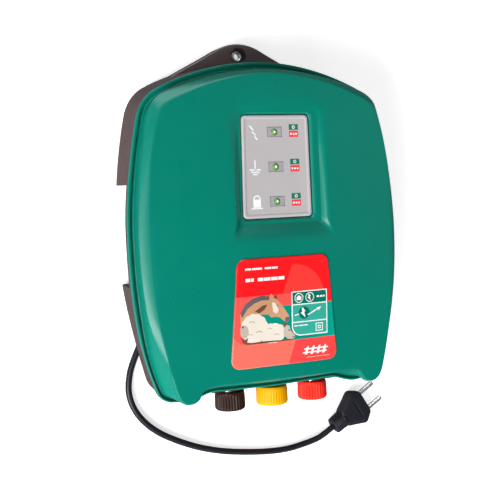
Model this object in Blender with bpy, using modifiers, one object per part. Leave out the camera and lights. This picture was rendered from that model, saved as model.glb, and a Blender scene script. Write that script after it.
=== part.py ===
"""Mains fence energizer, a wall-hung pulse unit for poultry and livestock fences.

The unit lies on its back: +X is its right side seen from the front, +Y runs up the
case to the hanger tab, +Z comes out of the front cover, and z = 0 is the back plane.
The origin is the middle of the back plane's footprint. Metres throughout.
"""
import math

import bmesh
import bpy
import numpy as np
from mathutils import Matrix, Vector

MM = 0.001
GAP = 0.3 * MM                    # clearance between neighbouring pieces

# Case, front to back
FLANGE_Z = 66.0 * MM              # parting plane of cover and housing
EDGE_Z = 89.0 * MM                # height of the face's edge
FACE_BULGE = 12.0 * MM            # rise of the face above its edge
BULGE_Y = -12.3 * MM              # where the face is highest
BULGE_UP = 146.0 * MM             # from there to where the rise ends, upwards
BULGE_DOWN = 134.0 * MM           # and downwards
SKIN = 2.8 * MM                   # moulded wall thickness
SIDE_RADIUS = 430.0 * MM          # sweep of the face's side edges
SIDE_REACH = 118.4 * MM           # half width of the face
SIDE_Y = -14.3 * MM               # where the face is widest

# Half outlines, from the top centre clockwise: x, y in millimetres, heading in degrees
FLANGE_NODES = [(0, 147.0, 0), (98, 124.5, -25), (120.3, 97.2, -78), (133.4, -6.3, -90),
                (110.5, -142.3, -112), (88, -154.2, -180), (71, -151.7, -204),
                (61, -150.5, -172), (40, -151.5, -179), (0, -151.7, -180)]
FACE_NODES = [(0, 133.0, 0), (86, 112.3, -25), (105.8, 88.7, -77), (118.4, -14.3, -90),
              (101.5, -136.3, -103), (88.6, -149.9, -180), (78.6, -143.8, -248),
              (71, -139.9, -185), (40, -141.7, -178), (0, -142.1, -180)]
BACK_NODES = [(0, 151.5, 0), (93, 130.4, -27), (112.4, 104.0, -77), (124.6, -6.3, -90),
              (104.0, -139.0, -104), (87, -154.6, -180), (72, -152.0, -204), (61, -150.7, -172),
              (40, -151.5, -179), (0, -151.7, -180)]
TAB_NODES = [(0, 170.7, 0), (22, 165.0, -29), (58, 146.0, -27), (84, 130.0, -36)]
SPAN_POINTS = [5, 4, 6, 5, 4, 3, 3, 2, 3]   # points on each span of a half outline

# Display pocket and panel
POCKET_Y = (-10.3 * MM, 98.7 * MM)
POCKET_HALF = 46.0 * MM
SEAT_Y = (2.0 * MM, 99.6 * MM)
SEAT_HALF = 36.6 * MM
SEAT_Z = 91.8 * MM
PANEL_Y = (5.6 * MM, 96.8 * MM)
PANEL_HALF = 33.7 * MM
PANEL_Z = 94.6 * MM
LED_Y = (81.7 * MM, 50.9 * MM, 20.1 * MM)
WINDOW = (14.6 * MM, 9.0 * MM)

# Label plate
LABEL_TOP = (44.9 * MM, -29.7 * MM)
LABEL_BOTTOM = (52.4 * MM, -126.3 * MM)
LABEL_CORNER = 8.5 * MM
LABEL_THICKNESS = 0.9 * MM
LABEL_LIFT = 0.5 * MM

# Output terminals
KNOB_X = (-36.2 * MM, 6.8 * MM, 49.8 * MM)
KNOB_Z = 49.0 * MM
KNOB_RADIUS = (14.2 * MM, 15.1 * MM, 14.2 * MM)
KNOB_TOP = -153.1 * MM
KNOB_BOTTOM = -170.7 * MM
LAND_Y = -151.0 * MM              # flat seat of the terminals on the bottom wall
WASHER = 1.5 * MM
STUD_RADIUS = 3.9 * MM            # M8
FLUTES = 24

# Mains cord
CORD_RADIUS = 3.0 * MM
CORD_Z = 3.2 * MM
CHANNEL_START = Vector((-84.0, -62.0, 0.0)) * MM
CHANNEL_WAY = Vector((-0.43, -0.903, 0.0)).normalized()
GLAND_Z = 6.5 * MM
CORD_ROUTE = [(-86.3, -66.8, 6.5), (-88.9, -72.2, 6.3), (-93.6, -82.1, 5.1), (-98.7, -92.9, 4.0),
              (-103.6, -103.2, 3.4), (-108.1, -112.6, 3.2), (-112.8, -122.5, 3.2),
              (-116.8, -133.0, 3.2), (-119.0, -144.5, 3.2), (-118.9, -155.0, 3.2),
              (-116.0, -165.8, 3.2), (-110.6, -175.7, 3.2), (-103.0, -184.8, 3.2),
              (-94.0, -192.5, 3.2), (-84.0, -199.1, 3.2), (-68.5, -207.1, 3.2),
              (-50.9, -214.5, 3.2), (-28.5, -221.2, 3.2), (-4.2, -225.8, 3.2),
              (21.0, -228.9, 3.2), (43.0, -229.4, 3.3), (62.0, -226.6, 4.2), (76.0, -222.6, 6.0),
              (85.2, -217.6, 7.6), (92.4, -211.6, 8.0)]
PLUG_WAY = Vector((math.cos(math.radians(40)), math.sin(math.radians(40)), 0.0))
PLUG_Z = 8.0 * MM

PARTS = bpy.data.collections.new("fence_energizer")
CUTTERS = bpy.data.collections.new("cutters")


def clear_scene():
    for item in list(bpy.data.objects):
        bpy.data.objects.remove(item, do_unlink=True)
    for collection in (PARTS, CUTTERS):
        bpy.context.scene.collection.children.link(collection)


def material(name, colour, roughness, metallic=0.0):
    made = bpy.data.materials.new(name)
    made.use_nodes = True
    shader = made.node_tree.nodes["Principled BSDF"]
    shader.inputs["Base Color"].default_value = (*colour, 1.0)
    shader.inputs["Roughness"].default_value = roughness
    shader.inputs["Metallic"].default_value = metallic
    return made


# ---------------------------------------------------------------- mesh helpers

def add_object(name, mesh, finish, cutter=False):
    made = bpy.data.objects.new(name, mesh)
    (CUTTERS if cutter else PARTS).objects.link(made)
    if cutter:
        made.hide_render = True
        made.display_type = "WIRE"
    else:
        mesh.materials.append(finish)
    return made


def mesh_from(name, build):
    shape = bmesh.new()
    build(shape)
    bmesh.ops.recalc_face_normals(shape, faces=shape.faces)
    mesh = bpy.data.meshes.new(name)
    shape.to_mesh(mesh)
    shape.free()
    return mesh


def loft(name, rings, finish=None, cutter=False, closed=False):
    """Skin a stack of rings with equal point counts; the ends are capped unless it is closed."""
    def build(shape):
        loops = [[shape.verts.new(point) for point in ring] for ring in rings]
        pairs = list(zip(loops, loops[1:]))
        if closed:
            pairs.append((loops[-1], loops[0]))
        for low, high in pairs:
            for i in range(len(low)):
                j = (i + 1) % len(low)
                shape.faces.new((low[i], low[j], high[j], high[i]))
        if not closed:
            shape.faces.new(loops[0])
            shape.faces.new(loops[-1])
    return add_object(name, mesh_from(name, build), finish, cutter)


def box(name, low, high, finish=None, cutter=False, frame=None):
    """A box between two corners, placed by an optional matrix."""
    low = Vector(low)
    high = Vector(high)

    def build(shape):
        bmesh.ops.create_cube(shape, size=1.0)
        size = high - low
        bmesh.ops.scale(shape, vec=size, verts=shape.verts)
        bmesh.ops.translate(shape, vec=(low + high) / 2, verts=shape.verts)
    made = add_object(name, mesh_from(name, build), finish, cutter)
    if frame is not None:
        made.matrix_world = frame
    return made


def along(origin, direction):
    """A frame at origin whose +Z runs in the given direction."""
    turn = Vector(direction).to_track_quat("Z", "Y").to_matrix().to_4x4()
    return Matrix.Translation(Vector(origin)) @ turn


def drum(name, radius, low, high, frame, finish=None, cutter=False, sides=24):
    """A plain cylinder between two heights on a frame's +Z axis."""
    def build(shape):
        bmesh.ops.create_cone(shape, cap_ends=True, segments=sides, radius1=radius,
                              radius2=radius, depth=high - low)
        bmesh.ops.translate(shape, vec=(0, 0, (low + high) / 2), verts=shape.verts)
    made = add_object(name, mesh_from(name, build), finish, cutter)
    made.matrix_world = frame
    return made


def turned(name, profile, frame, finish, sides=24, closed=False):
    """A profile of (radius, height) turned on a frame's +Z axis, outer side from the top down."""
    mesh = bpy.data.meshes.new(name)
    points = [(radius, 0.0, height) for radius, height in profile]
    edges = [(i, i + 1) for i in range(len(points) - 1)]
    if closed:
        edges.append((len(points) - 1, 0))
    mesh.from_pydata(points, edges, [])
    made = add_object(name, mesh, finish)
    screw = made.modifiers.new("turn", "SCREW")
    screw.steps = sides
    screw.render_steps = sides
    screw.use_merge_vertices = True
    screw.merge_threshold = 0.00001
    screw.use_smooth_shade = False
    made.matrix_world = frame
    return made


def join_shapes(target, *others):
    """Fuse other solids into the target with Boolean unions."""
    for other in others:
        boolean(target, other, "UNION")


def cut(target, *others):
    for other in others:
        boolean(target, other, "DIFFERENCE")


def boolean(target, other, operation):
    step = target.modifiers.new(other.name, "BOOLEAN")
    step.operation = operation
    step.solver = "EXACT"
    step.object = other


def bevel(target, width, segments=2, angle=35):
    step = target.modifiers.new("edges", "BEVEL")
    step.width = width
    step.segments = segments
    step.limit_method = "ANGLE"
    step.angle_limit = math.radians(angle)
    step.harden_normals = False


# ---------------------------------------------------------------- outlines

def smooth_path(nodes, counts):
    """Points on a Bezier curve through (x, y, heading) nodes, arcs where the ends allow."""
    points = []
    for start, end, count in zip(nodes, nodes[1:], counts):
        p0 = Vector(start[:2]) * MM
        p3 = Vector(end[:2]) * MM
        turn = abs(math.radians(end[2] - start[2]))
        chord = (p3 - p0).length
        if turn < 0.01:
            handle = chord / 3
        else:
            handle = 4 / 3 * math.tan(turn / 4) * chord / (2 * math.sin(turn / 2))
        out = Vector((math.cos(math.radians(start[2])), math.sin(math.radians(start[2]))))
        into = Vector((math.cos(math.radians(end[2])), math.sin(math.radians(end[2]))))
        p1 = p0 + out * handle
        p2 = p3 - into * handle
        for step in range(count):
            t = step / count
            s = 1 - t
            points.append(p0 * s ** 3 + p1 * 3 * s * s * t + p2 * 3 * s * t * t + p3 * t ** 3)
    points.append(Vector(nodes[-1][:2]) * MM)
    return points


def mirrored(half):
    """Close a half outline that runs from the top centre to the bottom centre."""
    other = [Vector((-point.x, point.y)) for point in half[-2:0:-1]]
    return half + other


def inset(loop, distance):
    """Move a clockwise loop's points inwards, square to the loop."""
    moved = []
    for i, point in enumerate(loop):
        along_loop = (loop[(i + 1) % len(loop)] - loop[i - 1]).normalized()
        inward = Vector((along_loop.y, -along_loop.x))
        moved.append(point + inward * distance)
    return moved


def blend(loop_a, loop_b, share):
    return [a.lerp(b, share) for a, b in zip(loop_a, loop_b)]


def at_height(loop, height):
    return [Vector((point.x, point.y, height)) for point in loop]


def face_height(x, y):
    """Height of the convex front face."""
    reach = SIDE_REACH - (y - SIDE_Y) ** 2 / (2 * SIDE_RADIUS)
    run = BULGE_UP if y > BULGE_Y else BULGE_DOWN
    rise = FACE_BULGE * max(0.0, 1 - ((y - BULGE_Y) / run) ** 2)
    return EDGE_Z + rise * max(0.0, 1 - (x / reach) ** 2)


def on_face(loop, drop=0.0):
    return [Vector((point.x, point.y, face_height(point.x, point.y) - drop)) for point in loop]


def rounded_loop(loop, centre, half_width, low, high, radius):
    """Where rays from a centre to a loop's points cross a rounded rectangle."""
    hits = []
    middle = Vector((0.0, (low + high) / 2))
    core = Vector((half_width - radius, (high - low) / 2 - radius))
    for point in loop:
        ray = (point - centre).normalized()
        near = 0.0
        far = half_width + high - low
        for _ in range(40):
            reach = (near + far) / 2
            spot = centre + ray * reach - middle
            over = Vector((max(abs(spot.x) - core.x, 0.0), max(abs(spot.y) - core.y, 0.0)))
            if over.length < radius:
                near = reach
            else:
                far = reach
        hits.append(centre + ray * near)
    return hits


FLANGE = mirrored(smooth_path(FLANGE_NODES, SPAN_POINTS))
FACE = mirrored(smooth_path(FACE_NODES, SPAN_POINTS))
BACK = mirrored(smooth_path(BACK_NODES, SPAN_POINTS))
POCKET_CENTRE = Vector((0.0, sum(SEAT_Y) / 2))


# ---------------------------------------------------------------- case

def cover_rings():
    """Outer skin of the front cover, from the parting plane to the pocket floor."""
    crest = blend(FLANGE, FACE, 0.375)
    groove = inset(FLANGE, 1.9 * MM)
    wall = inset(FLANGE, 0.7 * MM)
    rings = [at_height(FLANGE, FLANGE_Z + GAP), at_height(FLANGE, FLANGE_Z + 3.0 * MM),
             at_height(groove, FLANGE_Z + 3.3 * MM), at_height(groove, FLANGE_Z + 5.0 * MM),
             at_height(wall, FLANGE_Z + 5.6 * MM), at_height(crest, EDGE_Z - 10.0 * MM)]
    for angle in (30, 60):
        share = 1 - math.cos(math.radians(angle))
        rise = 10.0 * MM * math.sin(math.radians(angle))
        rings.append(at_height(blend(crest, FACE, share), EDGE_Z - 10.0 * MM + rise))
    rings.append(on_face(FACE))
    pocket = rounded_loop(FACE, POCKET_CENTRE, POCKET_HALF, *POCKET_Y, 7.0 * MM)
    seat = rounded_loop(FACE, POCKET_CENTRE, SEAT_HALF, *SEAT_Y, 5.0 * MM)
    for share in (0.22, 0.45, 0.72, 1.0):
        rings.append(on_face(blend(FACE, pocket, share)))
    rings.append(at_height(seat, SEAT_Z))
    return rings


def cover_hollow():
    """Inner skin of the front cover, open at the parting plane."""
    crest = blend(FLANGE, FACE, 0.375)
    pocket = rounded_loop(FACE, POCKET_CENTRE, POCKET_HALF + SKIN, POCKET_Y[0] - SKIN,
                          POCKET_Y[1] + SKIN, 9.0 * MM)
    seat = rounded_loop(FACE, POCKET_CENTRE, SEAT_HALF + SKIN, SEAT_Y[0] - SKIN,
                        SEAT_Y[1] + SKIN, 7.0 * MM)
    rim = inset(FLANGE, 5.2 * MM)
    rings = [at_height(rim, FLANGE_Z - 1 * MM), at_height(rim, FLANGE_Z + 5.0 * MM),
             at_height(inset(crest, SKIN), EDGE_Z - 10.5 * MM),
             at_height(inset(blend(crest, FACE, 0.5), SKIN), EDGE_Z - 5.0 * MM),
             on_face(inset(FACE, 0.6 * MM), SKIN)]
    for share in (0.33, 0.66, 1.0):
        rings.append(on_face(blend(FACE, pocket, share), SKIN + 0.3 * MM))
    rings.append(at_height(seat, SEAT_Z - SKIN))
    return rings


def make_front_cover(finish):
    cover = loft("front_cover", cover_rings(), finish)
    cut(cover, loft("cover_hollow", cover_hollow(), cutter=True))
    for index, y in enumerate(LED_Y):
        half = Vector((WINDOW[0] / 2 - 1.2 * MM, WINDOW[1] / 2 - 1.2 * MM))
        hole = box(f"window_hole_{index}", (-half.x, y - half.y, SEAT_Z - 8 * MM),
                   (half.x, y + half.y, SEAT_Z + 5 * MM), cutter=True)
        cut(cover, hole)
    for index, (x, y) in enumerate(SCREW_SPOTS):
        post = drum(f"cover_post_{index}", 4.6 * MM, FLANGE_Z + 1.0 * MM, EDGE_Z - 1.0 * MM,
                    along((x, y, 0), (0, 0, 1)), cutter=True, sides=16)
        bore = drum(f"cover_bore_{index}", 1.9 * MM, FLANGE_Z - 1 * MM, EDGE_Z - 8 * MM,
                    along((x, y, 0), (0, 0, 1)), cutter=True, sides=12)
        join_shapes(cover, post)
        cut(cover, bore)
    return cover


SCREW_SPOTS = [(-96 * MM, 98 * MM), (96 * MM, 98 * MM), (-94 * MM, -128 * MM), (94 * MM, -128 * MM)]
GRIP_Y = (-50.5 * MM, 41.0 * MM)          # side grip recesses between the two blocks
GRIP_DEPTH = 25.0 * MM
RIM_UNDER = 61.0 * MM                     # underside of the housing's flange


def housing_body(shrink, low, high, name):
    """A solid of the housing's outer form, shrunk by a wall thickness."""
    top = inset(FLANGE, 1.6 * MM + shrink)
    deep = inset(BACK, shrink)
    edge = inset(deep, 2.6 * MM)
    back = inset(deep, 8.0 * MM)
    rings = [at_height(top, high), at_height(deep, 10.0 * MM + low),
             at_height(edge, 3.0 * MM + low), at_height(back, low)]
    return loft(name, rings, cutter=True)


def make_rear_housing(finish):
    rim = inset(FLANGE, 0.5 * MM)
    under = inset(FLANGE, 1.6 * MM)
    rings = [at_height(rim, FLANGE_Z), at_height(rim, RIM_UNDER), at_height(under, RIM_UNDER - 0.8 * MM),
             at_height(BACK, 10.0 * MM), at_height(inset(BACK, 2.6 * MM), 3.0 * MM),
             at_height(inset(BACK, 8.0 * MM), 0.0)]
    housing = loft("rear_housing", rings, finish)
    hollow = housing_body(SKIN, SKIN, FLANGE_Z + 1 * MM, "housing_hollow")
    for side in (-1, 1):
        outer = sorted((side * (133 * MM - GRIP_DEPTH), side * 150 * MM))
        inner = sorted((side * (133 * MM - GRIP_DEPTH - SKIN), side * 150 * MM))
        grip = box(f"grip_{side}", (outer[0], GRIP_Y[0], -1 * MM), (outer[1], GRIP_Y[1], RIM_UNDER - 1.2 * MM),
                   cutter=True)
        wall = box(f"grip_wall_{side}", (inner[0], GRIP_Y[0] - SKIN, -1 * MM),
                   (inner[1], GRIP_Y[1] + SKIN, RIM_UNDER + 1.5 * MM), cutter=True)
        cut(housing, grip)
        cut(hollow, wall)
    land = box("terminal_land", (-58 * MM, LAND_Y, KNOB_Z - 16 * MM),
               (71 * MM, LAND_Y + 12 * MM, RIM_UNDER + 1 * MM), cutter=True)
    join_shapes(housing, tab_solid())
    join_shapes(housing, land)
    channel_frame = along(CHANNEL_START, CHANNEL_WAY)
    channel = channel_box("cord_channel", -24 * MM, 28 * MM, 8 * MM, 13 * MM)
    channel_shell = channel_box("channel_shell", -24 * MM - SKIN, 28 * MM + SKIN, 8 * MM + SKIN, 13 * MM + SKIN)
    slot = channel_box("cord_slot", 26 * MM, 62 * MM, 4.2 * MM, 8.4 * MM)
    slot_shell = channel_box("slot_shell", 26 * MM, 46 * MM, 4.2 * MM + SKIN, 8.4 * MM + SKIN)
    for shell in (channel_shell, slot_shell):
        cut(hollow, shell)
    cut(housing, hollow, channel, slot)
    gland_hole = drum("gland_hole", 3.7 * MM, -24 * MM - 8 * MM, -20 * MM,
                      Matrix.Translation((0, 0, GLAND_Z)) @ channel_frame, cutter=True, sides=20)
    cut(housing, gland_hole)
    for index, x in enumerate(KNOB_X):
        hole = drum(f"stud_hole_{index}", 6.2 * MM, 135 * MM, 160 * MM,
                    along((x, 0, KNOB_Z), (0, -1, 0)), cutter=True)
        cut(housing, hole)
    for index, (x, y) in enumerate(SCREW_SPOTS):
        upright = along((x, y, 0), (0, 0, 1))
        post = drum(f"screw_post_{index}", 6.0 * MM, 1.0 * MM, FLANGE_Z - 0.5 * MM, upright, cutter=True,
                    sides=16)
        head = drum(f"screw_well_{index}", 4.2 * MM, -1 * MM, 40 * MM, upright, cutter=True, sides=16)
        shank = drum(f"screw_bore_{index}", 2.3 * MM, 30 * MM, FLANGE_Z + 1 * MM, upright, cutter=True,
                     sides=12)
        join_shapes(housing, post)
        cut(housing, head, shank)
    cut_tab(housing)
    for index, (x, y) in enumerate(BOARD_SPOTS):
        pillar = drum(f"board_pillar_{index}", 3.6 * MM, 1.0 * MM, BOARD_Z - GAP,
                      along((x, y, 0), (0, 0, 1)), cutter=True, sides=12)
        pilot = drum(f"board_pilot_{index}", 1.5 * MM, BOARD_Z - 9 * MM, BOARD_Z + 1 * MM,
                     along((x, y, 0), (0, 0, 1)), cutter=True, sides=10)
        join_shapes(housing, pillar)
        cut(housing, pilot)
    groove = gasket_solid("gasket_groove", GASKET_INSET - 0.3 * MM, GASKET_WIDTH + 0.6 * MM,
                          FLANGE_Z - 1.9 * MM, FLANGE_Z + 1 * MM)
    cut(housing, groove)
    return housing


def channel_box(name, start, end, half_width, height):
    """A box along the cord's straight way out, standing on the back plane."""
    frame = Matrix.Translation(CHANNEL_START) @ CHANNEL_WAY.to_track_quat("X", "Z").to_matrix().to_4x4()
    return box(name, (start, -half_width, -1 * MM), (end, half_width, height), cutter=True, frame=frame)


TAB_FRONT = 22.5 * MM
TAB_BACK = 5.0 * MM
HOLE_Y = 159.5 * MM
COUNTERBORE = (7.8 * MM, 5.0 * MM)
HOLE_RADIUS = 4.3 * MM


def tab_solid():
    half = smooth_path(TAB_NODES, [5, 4, 2]) + [Vector((84.0, 118.0)) * MM, Vector((0.0, 118.0)) * MM]
    loop = mirrored(half)
    front = inset(loop, 1.2 * MM)
    rings = [at_height(front, TAB_FRONT), at_height(loop, TAB_FRONT - 2.0 * MM), at_height(loop, TAB_BACK)]
    return loft("tab_body", rings, cutter=True)


def cut_tab(housing):
    """Hollow the tab from behind and bore its counterbored hanging hole."""
    half = smooth_path([(0, 167.2, 0), (20.5, 161.9, -29), (33, 155.2, -28)], [4, 3])
    loop = mirrored(half + [Vector((33.0, 154.6)) * MM, Vector((0.0, 154.6)) * MM])
    hollow = loft("tab_hollow", [at_height(loop, TAB_FRONT - 8 * MM), at_height(loop, -1 * MM)], cutter=True)
    upright = along((0, HOLE_Y, 0), (0, 0, 1))
    bore = drum("tab_bore", HOLE_RADIUS, -1 * MM, 40 * MM, upright, cutter=True)
    well = drum("tab_well", COUNTERBORE[0], TAB_FRONT - COUNTERBORE[1], 40 * MM, upright, cutter=True)
    cut(housing, hollow, bore, well)


GASKET_INSET = 2.2 * MM
GASKET_WIDTH = 1.5 * MM


def gasket_solid(name, start, width, low, high, finish=None):
    outer = inset(FLANGE, start)
    inner = inset(FLANGE, start + width)
    rings = [at_height(outer, low), at_height(outer, high), at_height(inner, high), at_height(inner, low)]
    return loft(name, rings, finish, cutter=finish is None, closed=True)


# ---------------------------------------------------------------- front details

def make_panel(finish, window_finish):
    middle = Vector((0.0, sum(PANEL_Y) / 2))
    loop = mirrored_circle(48)
    rim = rounded_loop(loop, middle, PANEL_HALF, *PANEL_Y, 4.0 * MM)
    lip = rounded_loop(loop, middle, PANEL_HALF - 0.8 * MM, PANEL_Y[0] + 0.8 * MM, PANEL_Y[1] - 0.8 * MM,
                       3.4 * MM)
    field = rounded_loop(loop, middle, PANEL_HALF - 3.0 * MM, PANEL_Y[0] + 3.0 * MM, PANEL_Y[1] - 3.0 * MM,
                         2.4 * MM)
    low = SEAT_Z + GAP
    rings = [at_height(rim, low), at_height(rim, PANEL_Z - 0.5 * MM), at_height(lip, PANEL_Z),
             at_height(field, PANEL_Z), at_height(field, PANEL_Z - 0.5 * MM)]
    panel = loft("led_panel", rings, finish)
    for index, y in enumerate(LED_Y):
        hole = box(f"panel_hole_{index}", (-WINDOW[0] / 2, y - WINDOW[1] / 2, low - 1 * MM),
                   (WINDOW[0] / 2, y + WINDOW[1] / 2, PANEL_Z + 1 * MM), cutter=True)
        cut(panel, hole)
        half = Vector((WINDOW[0] / 2 - GAP, WINDOW[1] / 2 - GAP))
        box(f"led_window_{index + 1}", (-half.x, y - half.y, low), (half.x, y + half.y, PANEL_Z - 0.7 * MM),
            window_finish)


def mirrored_circle(count):
    """A clockwise ring of directions around the display's middle."""
    ring = []
    for i in range(count):
        angle = math.pi / 2 - 2 * math.pi * i / count
        ring.append(POCKET_CENTRE + Vector((math.cos(angle), math.sin(angle))))
    return ring


def label_loop():
    """Rounded trapezoid of the label, as a clockwise loop."""
    top = Vector(LABEL_TOP)
    bottom = Vector(LABEL_BOTTOM)
    lean = math.atan2(bottom.x - top.x, top.y - bottom.y)
    half = [Vector((0.0, top.y)), Vector((top.x / 2, top.y))]
    half += arc(top + Vector((-LABEL_CORNER, -LABEL_CORNER)), math.pi / 2, lean)
    rest = arc(bottom + Vector((-LABEL_CORNER, LABEL_CORNER)), lean, -math.pi / 2)
    half += [half[-1].lerp(rest[0], share) for share in (0.25, 0.5, 0.75)]
    half += rest + [Vector((bottom.x / 2, bottom.y)), Vector((0.0, bottom.y))]
    return mirrored(half)


def arc(centre, first, last):
    """Six points around a label corner, between two bearings."""
    points = []
    for step in range(6):
        angle = first + (last - first) * step / 5
        points.append(centre + Vector((math.cos(angle), math.sin(angle))) * LABEL_CORNER)
    return points


def make_label(finish):
    loop = label_loop()
    middle = Vector((0.0, (LABEL_TOP[1] + LABEL_BOTTOM[1]) / 2))
    centre = [middle] * len(loop)
    shares = (0.0, 0.3, 0.6, 0.85)
    low = [on_face(blend(loop, centre, share), -LABEL_LIFT) for share in reversed(shares)]
    high = [on_face(blend(loop, centre, share), -LABEL_LIFT - LABEL_THICKNESS) for share in shares]
    loft("label_plate", low + high, finish)


def make_leds(lens, board):
    for index, y in enumerate(LED_Y):
        frame = along((0, y, 0), (0, 0, 1))
        top = SEAT_Z - 0.2 * MM
        base = 82.2 * MM
        profile = [(0, top), (1.5 * MM, top - 0.5 * MM), (2.4 * MM, top - 2.2 * MM), (2.5 * MM, base + 1.2 * MM),
                   (2.9 * MM, base + 1.2 * MM), (2.9 * MM, base), (0, base)]
        turned(f"led_{index + 1}", profile, frame, lens, sides=16)
    box("led_board", (-20 * MM, 8 * MM, 80.3 * MM), (20 * MM, 94 * MM, 81.9 * MM), board)


# ---------------------------------------------------------------- terminals

KNOB_NAMES = ("brown", "yellow", "red")


def make_terminal(index, knob_finish, metal, brass, rubber):
    x = KNOB_X[index]
    name = KNOB_NAMES[index]
    outward = along((x, 0, KNOB_Z), (0, -1, 0))
    land = -LAND_Y
    top = -KNOB_TOP
    bottom = -KNOB_BOTTOM
    stud_end = bottom - 4.0 * MM
    inside = land - 12.0 * MM
    turned(f"terminal_stud_{name}",
           [(0, stud_end), (STUD_RADIUS - 0.8 * MM, stud_end), (STUD_RADIUS, stud_end - 0.8 * MM),
            (STUD_RADIUS, inside - 2 * MM), (8.0 * MM, inside - 2 * MM), (8.0 * MM, inside - 5 * MM),
            (0, inside - 5 * MM)], outward, metal)
    turned(f"terminal_bush_{name}",
           [(STUD_RADIUS + GAP, land - GAP - 0.4 * MM), (5.9 * MM, land - GAP - 0.4 * MM),
            (5.9 * MM, inside - GAP), (9.0 * MM, inside - GAP), (9.0 * MM, inside - 1.7 * MM),
            (STUD_RADIUS + GAP, inside - 1.7 * MM)], outward, rubber, closed=True)
    turned(f"clamp_washer_{name}",
           [(STUD_RADIUS + GAP, land + GAP + WASHER), (9.5 * MM, land + GAP + WASHER),
            (10.0 * MM, land + GAP + WASHER - 0.5 * MM), (10.0 * MM, land + GAP),
            (STUD_RADIUS + GAP, land + GAP)], outward, metal, closed=True)
    insert_depth = 9.0 * MM
    turned(f"knob_insert_{name}",
           [(STUD_RADIUS + GAP, top + insert_depth), (6.0 * MM, top + insert_depth), (6.0 * MM, top + 0.2 * MM),
            (STUD_RADIUS + GAP, top + 0.2 * MM)], outward, brass, closed=True)
    make_knob(index, outward, top, bottom, insert_depth, stud_end, knob_finish)
    nut = drum(f"stud_nut_{name}", 6.5 * MM / math.cos(math.pi / 6), inside - 12.0 * MM, inside - 5.4 * MM, outward,
               metal, sides=6)
    nut.name = f"stud_nut_{name}"
    return nut


def make_knob(index, frame, top, bottom, insert_depth, stud_end, finish):
    """Fluted knob with a blind bore, its rings turned around the stud's axis."""
    radius = KNOB_RADIUS[index]
    depth = 0.7 * MM if index != 1 else 0.25 * MM
    count = FLUTES * 2

    def ring(size, flute, height):
        points = []
        for i in range(count):
            angle = 2 * math.pi * i / count
            reach = size - (flute if i % 2 else 0.0)
            points.append(Vector((reach * math.cos(angle), reach * math.sin(angle), height)))
        return points
    bore = STUD_RADIUS + GAP + 0.1 * MM
    pocket = 6.0 * MM + GAP
    rings = [ring(bore, 0, stud_end + GAP), ring(bore, 0, top + insert_depth + GAP),
             ring(pocket, 0, top + insert_depth + GAP), ring(pocket, 0, top),
             ring(radius - 0.9 * MM, 0, top), ring(radius - 0.2 * MM, 0, top + 0.7 * MM),
             ring(radius - 0.2 * MM, depth * 0.3, top + 5.0 * MM), ring(radius, depth, bottom - 2.6 * MM),
             ring(radius - 1.4 * MM, depth * 0.6, bottom - 0.6 * MM), ring(radius - 3.6 * MM, 0, bottom)]
    knob = loft(f"knob_{KNOB_NAMES[index]}", rings, finish)
    knob.matrix_world = frame
    return knob


# ---------------------------------------------------------------- inside

BOARD_Z = 24.0 * MM
BOARD_X = (-88.0 * MM, 88.0 * MM)
BOARD_Y = (-112.0 * MM, 92.0 * MM)
BOARD_SPOTS = [(-80 * MM, 84 * MM), (80 * MM, 84 * MM), (-50 * MM, -104 * MM), (80 * MM, -104 * MM)]


def make_inside(finishes):
    top = BOARD_Z + 1.6 * MM
    board = box("main_board", (BOARD_X[0], BOARD_Y[0], BOARD_Z), (BOARD_X[1], BOARD_Y[1], top),
                finishes["board"])
    for index, (x, y) in enumerate(BOARD_SPOTS):
        upright = along((x, y, 0), (0, 0, 1))
        cut(board, drum(f"board_hole_{index}", 1.8 * MM, 0, 60 * MM, upright, cutter=True, sides=12))
        turned(f"board_screw_{index + 1}",
               [(0, top + 2.5 * MM), (1.6 * MM, top + 2.5 * MM), (2.9 * MM, top + 1.4 * MM), (2.9 * MM, top + GAP),
                (1.4 * MM, top + GAP), (1.4 * MM, BOARD_Z - 7.0 * MM), (0, BOARD_Z - 7.0 * MM)],
               upright, finishes["steel"], sides=12)
    for index, x in enumerate((-52 * MM, -8 * MM)):
        frame = along((x, 62 * MM, 0), (0, 0, 1))
        low = top + GAP
        turned(f"storage_capacitor_{index + 1}",
               [(0, low + 34 * MM), (15.5 * MM, low + 34 * MM), (17.0 * MM, low + 33 * MM), (17.0 * MM, low + 3.5 * MM),
                (16.2 * MM, low + 2.8 * MM), (17.0 * MM, low + 2.0 * MM), (17.0 * MM, low), (0, low)],
               frame, finishes["capacitor"], sides=28)
    make_transformer(top + GAP, finishes)
    box("thyristor", (40 * MM, 20 * MM, top + GAP), (56 * MM, 25 * MM, top + 20 * MM), finishes["black"])
    make_heat_sink(top + GAP, finishes["aluminium"])
    make_fuse(top + GAP, finishes)
    make_terminal_block(top + GAP, finishes)


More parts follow.
